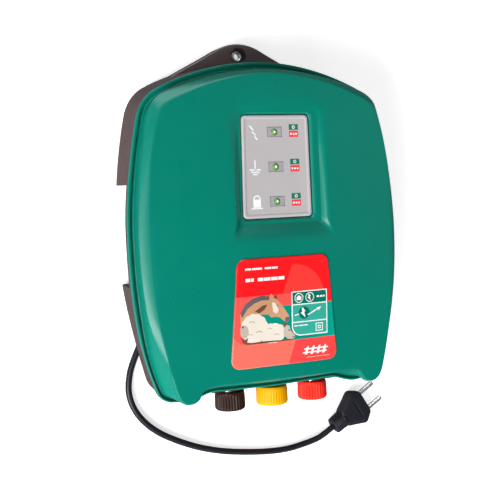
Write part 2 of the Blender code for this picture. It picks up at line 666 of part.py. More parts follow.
def make_transformer(low, finishes):
    """Pulse transformer: a laminated shell core around a bobbin of windings."""
    x, y = 10 * MM, -62 * MM
    core = box("transformer_core", (x - 32 * MM, y - 22 * MM, low), (x + 32 * MM, y + 22 * MM, low + 38 * MM),
               finishes["lamination"])
    for side in (-1, 1):
        window = box(f"core_window_{side}", (x + side * 14.5 * MM - 7.5 * MM, y - 30 * MM, low + 7 * MM),
                     (x + side * 14.5 * MM + 7.5 * MM, y + 30 * MM, low + 31 * MM), cutter=True)
        cut(core, window)
    coil = box("transformer_coil", (x - 21.7 * MM, y - 31 * MM, low + 7.3 * MM),
               (x + 21.7 * MM, y + 31 * MM, low + 30.7 * MM), finishes["winding"])
    limb = box("coil_limb", (x - 7.3 * MM, y - 22.3 * MM, low + 6 * MM),
               (x + 7.3 * MM, y + 22.3 * MM, low + 32 * MM), cutter=True)
    cut(coil, limb)
    for side in (-1, 1):
        notch = box(f"coil_limb_{side}", (x - 7.3 * MM, y - 22.3 * MM, low + 6 * MM),
                    (x + 7.3 * MM, y + 22.3 * MM, low + 40 * MM), cutter=True)
        cut(coil, notch)


def make_heat_sink(low, finish):
    sink = box("heat_sink", (34 * MM, 26 * MM, low), (76 * MM, 44 * MM, low + 26 * MM), finish)
    for index in range(5):
        x = 38 * MM + index * 7.6 * MM
        slot = box(f"sink_slot_{index}", (x, 30 * MM, low - 1 * MM), (x + 4.2 * MM, 50 * MM, low + 30 * MM),
                   cutter=True)
        cut(sink, slot)


def make_fuse(low, finishes):
    frame = along((-62 * MM, -92 * MM, low + 7.5 * MM), (1, 0, 0))
    holder = box("fuse_holder", (-64 * MM, -97.5 * MM, low), (-38 * MM, -86.5 * MM, low + 7.0 * MM),
                 finishes["black"])
    groove = drum("fuse_groove", 3.0 * MM, -10 * MM, 40 * MM, frame, cutter=True, sides=20)
    cut(holder, groove)
    turned("mains_fuse", [(0, 21 * MM), (2.4 * MM, 21 * MM), (2.6 * MM, 20.6 * MM), (2.6 * MM, 16 * MM),
                          (2.4 * MM, 15.8 * MM), (2.4 * MM, 6.2 * MM), (2.6 * MM, 6 * MM), (2.6 * MM, 1.4 * MM),
                          (2.4 * MM, 1 * MM), (0, 1 * MM)], frame, finishes["glass"], sides=16)


def make_terminal_block(low, finishes):
    block = box("mains_terminal_block", (-70 * MM, -56 * MM, low), (-48 * MM, -40 * MM, low + 14 * MM),
                finishes["nylon"])
    for index, x in enumerate((-64.5 * MM, -53.5 * MM)):
        well = drum(f"block_well_{index}", 2.2 * MM, 8 * MM, 20 * MM, along((x, -48 * MM, low), (0, 0, 1)),
                    cutter=True, sides=12)
        cut(block, well)


# ---------------------------------------------------------------- cord and plug

def tube(name, route, radius, finish, spacing, resolution=3):
    """A tube along a smooth curve through route points, as a mesh."""
    points = spline_points(route, spacing)
    curve = bpy.data.curves.new(name, "CURVE")
    curve.dimensions = "3D"
    curve.bevel_depth = radius
    curve.bevel_resolution = resolution
    curve.use_fill_caps = True
    line = curve.splines.new("POLY")
    line.points.add(len(points) - 1)
    for spot, point in zip(line.points, points):
        spot.co = (*point, 1.0)
    curve.materials.append(finish)
    made = bpy.data.objects.new(name, curve)
    PARTS.objects.link(made)
    return made


def spline_points(route, spacing):
    """Evenly spaced points on the Catmull-Rom curve through a route in millimetres."""
    knots = [np.array(point) * MM for point in route]
    knots = [2 * knots[0] - knots[1]] + knots + [2 * knots[-1] - knots[-2]]
    fine = []
    for a, b, c, d in zip(knots, knots[1:], knots[2:], knots[3:]):
        for t in np.linspace(0, 1, 20, endpoint=False):
            fine.append(0.5 * (2 * b + (c - a) * t + (2 * a - 5 * b + 4 * c - d) * t ** 2
                               + (3 * b - a - 3 * c + d) * t ** 3))
    fine.append(knots[-2])
    fine = np.array(fine)
    run = np.concatenate([[0], np.cumsum(np.linalg.norm(np.diff(fine, axis=0), axis=1))])
    count = max(4, int(run[-1] / spacing) + 1)
    return [[np.interp(s, run, fine[:, axis]) for axis in range(3)] for s in np.linspace(0, run[-1], count)]


def make_cord(finishes):
    channel = Matrix.Translation((0, 0, GLAND_Z)) @ along(CHANNEL_START, CHANNEL_WAY)
    turned("cable_gland",
           [(0, 5 * MM), (3.9 * MM, 5 * MM), (4.8 * MM, -20 * MM), (6.0 * MM, -20 * MM), (6.0 * MM, -23.7 * MM),
            (3.4 * MM, -23.7 * MM), (3.4 * MM, -33 * MM), (0, -33 * MM)], channel, finishes["cord"])
    tube("mains_cord", CORD_ROUTE, CORD_RADIUS, finishes["cord"], 6.5 * MM, resolution=3)
    make_plug(Vector(CORD_ROUTE[-1]) * MM + PLUG_WAY * GAP, finishes)


def make_plug(start, finishes):
    """Two-pin contour plug lying flat, its sleeve, body and pins along PLUG_WAY."""
    frame = along((start.x, start.y, PLUG_Z), PLUG_WAY)
    sleeve = 13.2 * MM
    profile = [(0, sleeve), (7.7 * MM, sleeve), (7.6 * MM, sleeve - 1.2 * MM)]
    for index in range(4):
        height = sleeve - (2.0 + index * 2.5) * MM
        profile += [(6.9 * MM, height), (6.9 * MM, height - 0.9 * MM), (7.6 * MM, height - 1.1 * MM),
                    (7.6 * MM, height - 1.8 * MM)]
    profile += [(7.2 * MM, 0.9 * MM), (6.2 * MM, 0.0), (0, 0.0)]
    turned("plug_sleeve", profile, frame, finishes["plug"], sides=20)
    body_start = sleeve + GAP
    stations = [(0.0, 8.2, 7.2), (3.0, 9.6, 7.4), (12.0, 14.6, 7.6), (20.0, 18.7, 7.6), (23.6, 19.3, 7.5),
                (27.2, 17.4, 7.2), (28.7, 15.6, 6.6)]
    rings = [plug_section(half * MM, thick * MM, body_start + place * MM) for place, half, thick in stations]
    body = loft("plug_body", rings, finishes["plug"])
    body.matrix_world = frame
    for index, side in enumerate((-1, 1)):
        base = body_start + stations[-1][0] * MM + GAP
        pin = frame @ Matrix.Translation((side * 9.5 * MM, 0, 0))
        turned(f"plug_pin_{index + 1}",
               [(0, base + 19 * MM), (1.4 * MM, base + 19 * MM), (2.4 * MM, base + 17.6 * MM), (2.4 * MM, base),
                (0, base)], pin, finishes["pin"], sides=16)


def plug_section(half_width, half_height, station):
    """A rounded section across the plug, wide along the frame's local X."""
    points = []
    for i in range(20):
        angle = 2 * math.pi * i / 20
        c = math.cos(angle)
        s = math.sin(angle)
        points.append(Vector((half_width * math.copysign(abs(c) ** 0.55, c),
                              half_height * math.copysign(abs(s) ** 0.55, s), station)))
    return points


# ---------------------------------------------------------------- assembly

def make_case_screws(finish):
    for index, (x, y) in enumerate(SCREW_SPOTS):
        top = EDGE_Z - 10 * MM
        turned(f"case_screw_{index + 1}",
               [(0, top), (1.6 * MM, top - 1.5 * MM), (1.6 * MM, 40 * MM - GAP - 0 * MM), (3.8 * MM, 39.4 * MM),
                (3.8 * MM, 36.6 * MM), (0, 36.6 * MM)], along((x, y, 0), (0, 0, 1)), finish, sides=14)


def make_eyelet(finish):
    low = TAB_FRONT - 8 * MM - 0.8 * MM
    high = TAB_FRONT - COUNTERBORE[1] + GAP
    turned("hanger_eyelet",
           [(3.2 * MM, high + 0.8 * MM), (5.4 * MM, high + 0.8 * MM), (5.4 * MM, high), (HOLE_RADIUS - 0.2 * MM, high),
            (HOLE_RADIUS - 0.2 * MM, low), (3.2 * MM, low)], along((0, HOLE_Y, 0), (0, 0, 1)), finish, closed=True)


def build_energizer():
    green = material("green_cover", (0.0, 0.22, 0.15), 0.32)
    brown = material("brown_housing", (0.035, 0.016, 0.012), 0.5)
    grey = material("panel_grey", (0.53, 0.50, 0.51), 0.45)
    smoke = material("window_grey", (0.22, 0.22, 0.22), 0.3)
    red = material("label_red", (0.9, 0.03, 0.03), 0.2)
    rubber = material("black_rubber", (0.02, 0.02, 0.022), 0.7)
    steel = material("zinc_steel", (0.6, 0.6, 0.6), 0.35, 1.0)
    brass = material("brass", (0.75, 0.55, 0.22), 0.3, 1.0)
    lens = material("led_green", (0.1, 0.7, 0.15), 0.2)
    board = material("circuit_board", (0.02, 0.15, 0.06), 0.5)
    cord = material("cord_black", (0.02, 0.023, 0.03), 0.5)
    knob_finishes = (material("knob_brown", (0.05, 0.025, 0.018), 0.45),
                     material("knob_yellow", (0.87, 0.46, 0.0), 0.4),
                     material("knob_red", (0.95, 0.05, 0.03), 0.4))
    inside = {"board": board, "steel": steel, "black": rubber, "glass": lens,
              "capacitor": material("capacitor_can", (0.05, 0.07, 0.12), 0.4),
              "aluminium": material("aluminium", (0.7, 0.7, 0.72), 0.4, 1.0),
              "lamination": material("lamination", (0.12, 0.12, 0.13), 0.6, 0.6),
              "winding": material("copper_winding", (0.6, 0.25, 0.1), 0.4, 0.8),
              "nylon": material("nylon_white", (0.8, 0.8, 0.75), 0.5)}
    make_front_cover(green)
    make_rear_housing(brown)
    gasket_solid("case_gasket", GASKET_INSET, GASKET_WIDTH, FLANGE_Z - 1.6 * MM, FLANGE_Z, rubber)
    make_eyelet(steel)
    make_panel(grey, smoke)
    make_label(red)
    make_leds(lens, board)
    for index in range(len(KNOB_X)):
        make_terminal(index, knob_finishes[index], steel, brass, rubber)
    make_case_screws(steel)
    make_inside(inside)
    make_cord({"cord": cord, "plug": material("plug_black", (0.025, 0.028, 0.035), 0.45), "pin": steel})


clear_scene()
build_energizer()
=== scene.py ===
"""Looks of the fence energizer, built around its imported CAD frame. Lengths are in metres in the
frame's own axes; tables are in millimetres unless they say otherwise."""
import math

import bmesh
import bpy
import numpy as np
from mathutils import Matrix, Vector


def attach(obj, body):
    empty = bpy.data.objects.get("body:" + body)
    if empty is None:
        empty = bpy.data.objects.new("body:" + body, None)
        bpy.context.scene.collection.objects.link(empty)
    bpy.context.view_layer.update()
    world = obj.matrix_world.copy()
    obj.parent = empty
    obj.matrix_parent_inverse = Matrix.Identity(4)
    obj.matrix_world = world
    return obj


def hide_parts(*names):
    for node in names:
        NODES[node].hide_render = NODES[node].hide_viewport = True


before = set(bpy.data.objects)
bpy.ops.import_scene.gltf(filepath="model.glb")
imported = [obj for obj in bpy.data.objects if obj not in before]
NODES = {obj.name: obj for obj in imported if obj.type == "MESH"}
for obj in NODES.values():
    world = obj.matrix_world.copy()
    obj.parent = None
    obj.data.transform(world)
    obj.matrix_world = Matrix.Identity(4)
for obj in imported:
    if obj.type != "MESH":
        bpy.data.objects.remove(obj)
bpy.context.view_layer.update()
MM = 0.001


def clamp01(value):
    return min(1.0, max(0.0, value))


def link(name, data):
    made = bpy.data.objects.new(name, data)
    bpy.context.scene.collection.objects.link(made)
    return made


# ---------------------------------------------------------------- camera and cord route

LENS = 70.44
EYE = Vector((-379.5, 23.5, 881.3)) * MM
RIGHT = Vector((0.91164, -0.04530, 0.40849))
UP = Vector((0.06271, 0.99760, -0.02931))
AHEAD = Vector((0.40618, -0.05234, -0.91229))


def make_camera():
    data = bpy.data.cameras.new("camera")
    data.lens = LENS
    data.sensor_width = 36.0
    data.clip_start = 0.01
    data.clip_end = 20.0
    camera = link("camera", data)
    basis = Matrix((RIGHT, UP, -AHEAD)).transposed().to_4x4()
    camera.matrix_world = Matrix.Translation(EYE) @ basis
    bpy.context.scene.camera = camera


CORD_RADIUS = 3.0 * MM
CORD_ROUTE = [(-86.3, -66.8, 6.5), (-88.9, -72.2, 6.3), (-93.6, -82.1, 5.1), (-98.7, -92.9, 4.0),
              (-103.6, -103.2, 3.4), (-108.1, -112.6, 3.2), (-112.8, -122.5, 3.2),
              (-116.8, -133.0, 3.2), (-119.0, -144.5, 3.2), (-118.9, -155.0, 3.2),
              (-116.0, -165.8, 3.2), (-110.6, -175.7, 3.2), (-103.0, -184.8, 3.2),
              (-94.0, -192.5, 3.2), (-84.0, -199.1, 3.2), (-68.5, -207.1, 3.2),
              (-50.9, -214.5, 3.2), (-28.5, -221.2, 3.2), (-4.2, -225.8, 3.2),
              (21.0, -228.9, 3.2), (43.0, -229.4, 3.3), (62.0, -226.6, 4.4), (76.0, -222.6, 6.6),
              (85.2, -217.2, 8.6), (92.4, -212.6, 9.4)]


def smooth_route(route, count):
    """Evenly spaced points on the Catmull-Rom curve through a route in millimetres."""
    knots = [np.array(point) * MM for point in route]
    knots = [2 * knots[0] - knots[1]] + knots + [2 * knots[-1] - knots[-2]]
    fine = []
    for a, b, c, d in zip(knots, knots[1:], knots[2:], knots[3:]):
        for t in np.linspace(0, 1, 20, endpoint=False):
            fine.append(0.5 * (2 * b + (c - a) * t + (2 * a - 5 * b + 4 * c - d) * t ** 2
                               + (3 * b - a - 3 * c + d) * t ** 3))
    fine.append(knots[-2])
    fine = np.array(fine)
    run = np.concatenate([[0], np.cumsum(np.linalg.norm(np.diff(fine, axis=0), axis=1))])
    spots = [[float(np.interp(s, run, fine[:, axis])) for axis in range(3)]
             for s in np.linspace(0, run[-1], count)]
    return spots, float(run[-1])


# ---------------------------------------------------------------- materials

def new_material(name, colour, roughness, **sockets):
    made = bpy.data.materials.new(name)
    made.use_nodes = True
    tree = made.node_tree
    shader = tree.nodes["Principled BSDF"]
    shader.inputs["Base Color"].default_value = (*colour, 1.0)
    shader.inputs["Roughness"].default_value = roughness
    for key, value in sockets.items():
        shader.inputs[key.replace("_", " ")].default_value = value
    return made, tree, shader


def node(tree, kind, inputs=None, **settings):
    made = tree.nodes.new(kind)
    for key, value in settings.items():
        setattr(made, key, value)
    for key, value in (inputs or {}).items():
        if isinstance(value, bpy.types.NodeSocket):
            tree.links.new(value, made.inputs[key])
        else:
            made.inputs[key].default_value = value
    return made


def noise(tree, scale, detail=3.0, rough=0.5, stretch=(1, 1, 1)):
    place = node(tree, "ShaderNodeTexCoord")
    moved = node(tree, "ShaderNodeMapping", {"Vector": place.outputs["Object"], "Scale": stretch})
    return node(tree, "ShaderNodeTexNoise", {"Vector": moved.outputs[0], "Scale": scale,
                                             "Detail": detail, "Roughness": rough}).outputs["Fac"]


def ramp(tree, factor, low, high, low_at=0.3, high_at=0.7):
    made = node(tree, "ShaderNodeValToRGB", {"Fac": factor})
    made.color_ramp.elements[0].position = low_at
    made.color_ramp.elements[1].position = high_at
    made.color_ramp.elements[0].color = low if len(low) == 4 else (*low, 1)
    made.color_ramp.elements[1].color = high if len(high) == 4 else (*high, 1)
    return made.outputs["Color"]


def grey(value):
    return (value, value, value, 1.0)


def calc(tree, operation, *values):
    return node(tree, "ShaderNodeMath", dict(enumerate(values)), operation=operation).outputs[0]


def over(tree, below, mask, colour):
    """A colour, or another socket, laid over one socket where a mask says."""
    above = colour if isinstance(colour, bpy.types.NodeSocket) else (*colour, 1)
    return node(tree, "ShaderNodeMix", {"Factor": mask, 6: below, 7: above}, data_type="RGBA").outputs[2]


def add_bump(tree, shader, height, strength, distance):
    bump = node(tree, "ShaderNodeBump", {"Height": height, "Strength": strength, "Distance": distance})
    tree.links.new(bump.outputs[0], shader.inputs["Normal"])


def moulded(name, colour, roughness, grain=900.0, depth=0.00006, vary=0.06, wear=0.0, **sockets):
    """Moulded plastic: faint colour drift, fine spark grain, patchy polish and rubbed edges."""
    made, tree, shader = new_material(name, colour, roughness, **sockets)
    dark = [c * (1 - vary) for c in colour]
    light = [min(1.0, c * (1 + vary)) for c in colour]
    drift = ramp(tree, noise(tree, 14.0, 4.0, 0.55), dark, light)
    if wear:
        sharp = node(tree, "ShaderNodeNewGeometry").outputs["Pointiness"]
        edge = ramp(tree, sharp, grey(0), grey(1), 0.53, 0.62)
        spots = ramp(tree, noise(tree, 160.0, 5.0, 0.6), grey(0), grey(1), 0.45, 0.7)
        amount = calc(tree, "MULTIPLY", calc(tree, "MULTIPLY", edge, spots), wear)
        drift = over(tree, drift, amount, [min(1.0, c * 1.5 + 0.03) for c in colour])
    tree.links.new(drift, shader.inputs["Base Color"])
    polish = ramp(tree, noise(tree, 42.0, 5.0, 0.6), grey(roughness * 0.9), grey(roughness * 1.12))
    tree.links.new(polish, shader.inputs["Roughness"])
    add_bump(tree, shader, noise(tree, grain, 2.0, 0.6), 0.35, depth)
    return made


def metal(name, colour, roughness, stretch=(1, 1, 1)):
    """Metal with a fine brushed grain, drawn out along the axes that stretch gives least."""
    made, tree, shader = new_material(name, colour, roughness, Metallic=1.0)
    dark = [c * 0.82 for c in colour]
    tree.links.new(ramp(tree, noise(tree, 60.0, 5.0, 0.6), dark, colour), shader.inputs["Base Color"])
    brushed = noise(tree, 500.0, 3.0, 0.6, stretch)
    tree.links.new(ramp(tree, brushed, grey(roughness * 0.75), grey(roughness * 1.35)),
                   shader.inputs["Roughness"])
    add_bump(tree, shader, brushed, 0.25, 0.00003)
    return made


# ---------------------------------------------------------------- mesh helpers

def finish_mesh(piece, sharp):
    """Apply a piece's modifiers, then smooth it with hard edges kept."""
    graph = bpy.context.evaluated_depsgraph_get()
    mesh = bpy.data.meshes.new_from_object(piece.evaluated_get(graph), depsgraph=graph)
    piece.modifiers.clear()
    piece.data = mesh
    mesh.polygons.foreach_set("use_smooth", [True] * len(mesh.polygons))
    mesh.set_sharp_from_angle(angle=math.radians(sharp))
    return piece


def solid_mesh(name, build):
    shape = bmesh.new()
    build(shape)
    bmesh.ops.recalc_face_normals(shape, faces=shape.faces)
    mesh = bpy.data.meshes.new(name)
    shape.to_mesh(mesh)
    shape.free()
    return mesh


def place(piece, finish, slot, stands_for=(), body="case"):
    """Hang a linked piece on its body with its finish, and hide the nodes it stands for. The slot argument is
    not used.
    """
    if finish:
        piece.data.materials.append(finish)
    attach(piece, body)
    if stands_for:
        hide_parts(*stands_for)
    return piece


def add_piece(name, build, finish, slot, stands_for, body="case"):
    return place(link(name, solid_mesh(name, build)), finish, slot, [stands_for], body)


def add_shell(name, rings, finish, slot, stands_for, body="case", closed=False):
    return add_piece(name, lambda shape: skin(shape, rings, closed), finish, slot, stands_for, body)


def skin(shape, rings, closed=False):
    loops = [[shape.verts.new(point) for point in ring] for ring in rings]
    pairs = list(zip(loops, loops[1:]))
    if closed:
        pairs.append((loops[-1], loops[0]))
    for low, high in pairs:
        for i in range(len(low)):
            j = (i + 1) % len(low)
            shape.faces.new((low[i], low[j], high[j], high[i]))
    if not closed:
        shape.faces.new(loops[0])
        shape.faces.new(loops[-1])


HELPERS = []


def helper(name, build, frame_to=None):
    """A cutter solid, which isn't part of the object and is removed after use."""
    made = link(name, solid_mesh(name, build))
    if frame_to is not None:
        made.matrix_world = frame_to
    HELPERS.append(made)
    return made


def ring_cutter(name, rings):
    return helper(name, lambda shape: skin(shape, rings))


def fill_box(shape, size, middle, rounding=0.0, segments=5, profile=0.5):
    bmesh.ops.create_cube(shape, size=1.0)
    bmesh.ops.scale(shape, vec=size, verts=shape.verts)
    bmesh.ops.translate(shape, vec=middle, verts=shape.verts)
    if rounding:
        bmesh.ops.bevel(shape, geom=shape.edges, offset=rounding, segments=segments, profile=profile,
                        affect="EDGES")


def box_cutter(name, low, high, frame_to=None, rounding=0.0):
    low = Vector(low)
    high = Vector(high)
    return helper(name, lambda shape: fill_box(shape, high - low, (low + high) / 2, rounding), frame_to)


def drum_cutter(name, radius, low, high, frame_to, sides=64):
    def build(shape):
        bmesh.ops.create_cone(shape, cap_ends=True, segments=sides, radius1=radius, radius2=radius,
                              depth=high - low)
        bmesh.ops.translate(shape, vec=(0, 0, (low + high) / 2), verts=shape.verts)
    return helper(name, build, frame_to)


def boolean(target, other, operation="DIFFERENCE"):
    step = target.modifiers.new(other.name, "BOOLEAN")
    step.operation = operation
    step.solver = "EXACT"
    step.object = other


def finish_cut(piece, sharp):
    """Finish a piece that cutters went through, and remove the cutters."""
    finish_mesh(piece, sharp)
    for item in HELPERS:
        bpy.data.objects.remove(item, do_unlink=True)
    HELPERS.clear()
    return piece


def along(origin, direction):
    turn = Vector(direction).to_track_quat("Z", "Y").to_matrix().to_4x4()
    return Matrix.Translation(Vector(origin)) @ turn


def upright(x, y):
    return along((x, y, 0), (0, 0, 1))


def stud_axis(x):
    """Frame of a stud at x, with its +Z out of the lower wall."""
    return along((x, 0, KNOB_Z), (0, -1, 0))


def round_angles(count):
    return [2 * math.pi * i / count for i in range(count)]


def quarter_angles(steps, first=0):
    return [math.radians(90 * step / steps) for step in range(first, steps + 1)]


def turned_rings(profile, sides, frame_to):
    """Rings of a (radius, height) profile in millimetres about a frame's +Z axis."""
    return [[frame_to @ Vector((radius * MM * math.cos(angle), radius * MM * math.sin(angle), height * MM))
             for angle in round_angles(sides)] for radius, height in profile]


def corner_arc(before, corner, after, cut, steps):
    """Points of the arc that cuts a corner off, with the ways from it to its neighbours."""
    first = corner + before.normalized() * cut
    last = corner + after.normalized() * cut
    return [first * (1 - t) ** 2 + corner * 2 * t * (1 - t) + last * t * t
            for t in (step / steps for step in range(steps + 1))]


def rounded(profile, radius, steps=4):
    """A profile with each corner cut back to a small arc."""
    points = [profile[0]]
    for before, corner, after in zip(profile, profile[1:], profile[2:]):
        a = Vector(before) - Vector(corner)
        b = Vector(after) - Vector(corner)
        points += corner_arc(a, Vector(corner), b, min(radius, a.length * 0.45, b.length * 0.45), steps)
    points.append(profile[-1])
    return points


# ---------------------------------------------------------------- outlines of the case
# The edge and the shoulder stand a little higher than the part's, to follow the photograph.

FLANGE_Z = 66.0 * MM
EDGE_Z = 93.5 * MM
SHOULDER_Z = 89.0 * MM
FACE_BULGE = 7.3 * MM
BULGE_Y = -12.3 * MM
BULGE_UP = 146.0 * MM
BULGE_DOWN = 134.0 * MM
SKIN = 2.8 * MM
SIDE_RADIUS = 430.0 * MM
SIDE_REACH = 118.4 * MM
SIDE_Y = -14.3 * MM
# Right half of each outline from top to bottom: x, y, heading in degrees
FLANGE_NODES = [(0, 147.0, 0), (98, 124.5, -25), (119.6, 97.2, -78), (132.6, -6.3, -90),
                (112.5, -144.0, -112), (97.5, -153.4, -178), (84, -154.4, -183),
                (66, -149.7, -197), (46, -149.0, -179), (0, -150.0, -180)]
SHOULDER_NODES = [(0, 137.8, 0), (84, 122.6, -20), (108.8, 103.5, -76), (124.0, -12.6, -90),
                  (102.9, -138.5, -111), (91.2, -153.2, -180), (80.3, -146.5, -252),
                  (74.0, -141.6, -190), (40, -141.2, -180), (0, -141.4, -180)]
FACE_NODES = [(0, 133.8, 0), (86, 114.4, -24), (105.8, 99.0, -70), (118.4, -8.3, -90),
              (103.4, -138.0, -105), (91.0, -151.8, -180), (80.9, -145.6, -252),
              (74.6, -139.8, -190), (40, -139.2, -180), (0, -139.3, -180)]
BACK_NODES = [(0, 151.5, 0), (93, 130.4, -27), (112.4, 104.0, -77), (124.6, -6.3, -90),
              (104.0, -139.0, -104), (87, -154.6, -180), (72, -152.0, -204), (61, -150.7, -172),
              (40, -151.5, -179), (0, -151.7, -180)]
TAB_NODES = [(0, 170.7, 0), (22, 165.0, -29), (58, 146.0, -27), (84, 130.0, -36)]
SPAN_POINTS = [26, 16, 36, 36, 16, 10, 8, 8, 14]


def smooth_path(nodes, counts):
    """Points through nodes of (x, y, heading in degrees), with so many to each span."""
    points = []
    for start, end, count in zip(nodes, nodes[1:], counts):
        p0 = Vector(start[:2]) * MM
        p3 = Vector(end[:2]) * MM
        turn = abs(math.radians(end[2] - start[2]))
        chord = (p3 - p0).length
        if turn < 0.01:
            handle = chord / 3
        else:
            handle = 4 / 3 * math.tan(turn / 4) * chord / (2 * math.sin(turn / 2))
        out, into = (Vector((math.cos(math.radians(end_node[2])), math.sin(math.radians(end_node[2]))))
                     for end_node in (start, end))
        p1 = p0 + out * handle
        p2 = p3 - into * handle
        for step in range(count):
            t = step / count
            s = 1 - t
            points.append(p0 * s ** 3 + p1 * 3 * s * s * t + p2 * 3 * s * t * t + p3 * t ** 3)
    points.append(Vector(nodes[-1][:2]) * MM)
    return points


def mirrored(half):
    return half + [Vector((-point.x, point.y)) for point in half[-2:0:-1]]


def inset(loop, distance):
    after = loop[1:] + loop[:1]
    ways = [(b - a).normalized() for a, b in zip(loop[-1:] + loop[:-1], after)]
    return [point + Vector((way.y, -way.x)) * distance for point, way in zip(loop, ways)]


def blend(loop_a, loop_b, share):
    return [a.lerp(b, share) for a, b in zip(loop_a, loop_b)]


def at_height(loop, height):
    return [Vector((point.x, point.y, height)) for point in loop]


def face_height(x, y):
    reach = SIDE_REACH - (y - SIDE_Y) ** 2 / (2 * SIDE_RADIUS)
    run = BULGE_UP if y > BULGE_Y else BULGE_DOWN
    rise = FACE_BULGE * max(0.0, 1 - ((y - BULGE_Y) / run) ** 2)
    return EDGE_Z + rise * max(0.0, 1 - (x / reach) ** 2)


def on_face(loop, lift=0.0):
    return [Vector((point.x, point.y, face_height(point.x, point.y) + lift)) for point in loop]


def rounded_polygon(corners, radius, steps=10):
    """A closed outline through corners in millimetres, each one rounded."""
    spots = [Vector(corner) * MM for corner in corners]
    outline = []
    for i, corner in enumerate(spots):
        before = spots[i - 1] - corner
        after = spots[(i + 1) % len(spots)] - corner
        half = before.angle(after) / 2
        cut = min(radius * MM / math.tan(half), before.length * 0.45, after.length * 0.45)
        outline += corner_arc(before, corner, after, cut, steps)
    return outline


def cast(loop, centre, outline):
    """Where rays from a centre to a loop's points cross an outline."""
    hits = []
    for point in loop:
        way = (point - centre).normalized()
        best = None
        for p, q in zip(outline, outline[1:] + outline[:1]):
            edge = q - p
            cross = way.x * edge.y - way.y * edge.x
            if abs(cross) < 1e-12:
                continue
            gap = p - centre
            reach = (gap.x * edge.y - gap.y * edge.x) / cross
            share = (gap.x * way.y - gap.y * way.x) / cross
            if reach > 0 and -1e-9 <= share <= 1 + 1e-9 and (best is None or reach > best):
                best = reach
        hits.append(centre + way * best)
    return hits


def panel_corners(half, low, high):
    return [(-half, high), (half, high), (half, low), (-half, low)]


def left_spread(point):
    """How far the left shoulder stands outside the mirrored one, as the photograph shows it."""
    if point.x >= 0:
        return 0.0
    return 4.6 * MM * clamp01((point.y + 135 * MM) / (60 * MM)) * clamp01((-point.x - 60 * MM) / (40 * MM))


FLANGE = mirrored(smooth_path(FLANGE_NODES, SPAN_POINTS))
SHOULDER = [Vector((p.x - left_spread(p), p.y)) for p in mirrored(smooth_path(SHOULDER_NODES, SPAN_POINTS))]
FACE = mirrored(smooth_path(FACE_NODES, SPAN_POINTS))
BACK = mirrored(smooth_path(BACK_NODES, SPAN_POINTS))
SEAT_Z = 91.8 * MM
FLOOR_Z = 94.7 * MM
SEAT = rounded_polygon([(-32.1, 97.5), (35.0, 97.5), (35.5, 4.7), (-34.3, 4.7)], 4.6)
SEAT_EDGE = rounded_polygon([(-33.2, 98.9), (37.7, 98.9), (38.2, 3.2), (-35.4, 3.2)], 5.6)
POCKET_FLOOR = rounded_polygon([(-35.6, 100.6), (43.5, 100.6), (43.2, 0.4), (-37.2, 0.4)], 3.0)
POCKET_CREST = rounded_polygon([(-48.5, 103.5), (-34.0, 121.0), (36.0, 121.0), (50.5, 103.8), (49.8, -1.0),
                                (54.5, -14.5), (-48.0, -15.5), (-44.0, -0.5), (-44.5, 50.0)], 4.0)
PANEL_Y = (5.6 * MM, 96.8 * MM)
PANEL_Z = 94.6 * MM
PANEL_LOW = SEAT_Z + 0.3 * MM
PANEL_DIP = 0.55
LED_Y = (81.7 * MM, 50.9 * MM, 20.1 * MM)
WINDOW = (14.6 * MM, 9.0 * MM)
POCKET_CENTRE = Vector((0.0, 50.8)) * MM
KNOB_X = (-36.2 * MM, 6.8 * MM, 49.8 * MM)
KNOB_Z = 49.0 * MM
KNOB_RADIUS = (14.2 * MM, 15.1 * MM, 14.2 * MM)
KNOB_NAMES = ("brown", "yellow", "red")
KNOB_TOP = 153.1
KNOB_BOTTOM = 170.7
KNOB_BORE = 4.3
KNOB_POCKET = 6.3
KNOB_FLUTES = ((0.85, 30), (0.3, 36), (0.85, 30))
SCREW_SPOTS = [(-96 * MM, 98 * MM), (96 * MM, 98 * MM), (-94 * MM, -128 * MM), (94 * MM, -128 * MM)]
TAB_FRONT = 22.5 * MM
TAB_BACK = 5.0 * MM
HOLE_Y = 159.5 * MM
HOLE_RADIUS = 4.3 * MM
CHANNEL_START = Vector((-84.0, -62.0, 0.0)) * MM
CHANNEL_WAY = Vector((-0.43, -0.903, 0.0)).normalized()
SHOULDER_TOP = [SHOULDER_Z - 1.0 * MM * clamp01((p.y - 85 * MM) / (35 * MM)) for p in SHOULDER]

# ---------------------------------------------------------------- front cover

# Section of the flange's lip and groove: inset at the feet, inset elsewhere, rise over the flange
LIP = [(0.5, 0.5, 0.3), (0.1, 0.1, 0.5), (0.0, 0.0, 0.9), (0.0, 0.0, 2.4), (0.15, 0.15, 2.8), (0.5, 0.5, 3.1),
       (1.0, 1.4, 3.2), (1.5, 2.7, 3.1), (1.75, 3.15, 2.7), (1.85, 3.3, 1.2), (2.2, 3.7, 0.85),
       (3.6, 5.3, 0.8),
       (4.2, 5.9, 0.95), (4.6, 6.3, 1.4)]
WALL_RINGS = 8
BAND_RINGS = 10
FIELD_RINGS = 18
POCKET_RINGS = 16
FACE_EDGE = 0.9 * MM
ROUND_DROP = 1.4 * MM
BAND_CROWN = 0.45 * MM


def risen(loop, heights):
    return [Vector((p.x, p.y, z)) for p, z in zip(loop, heights)]


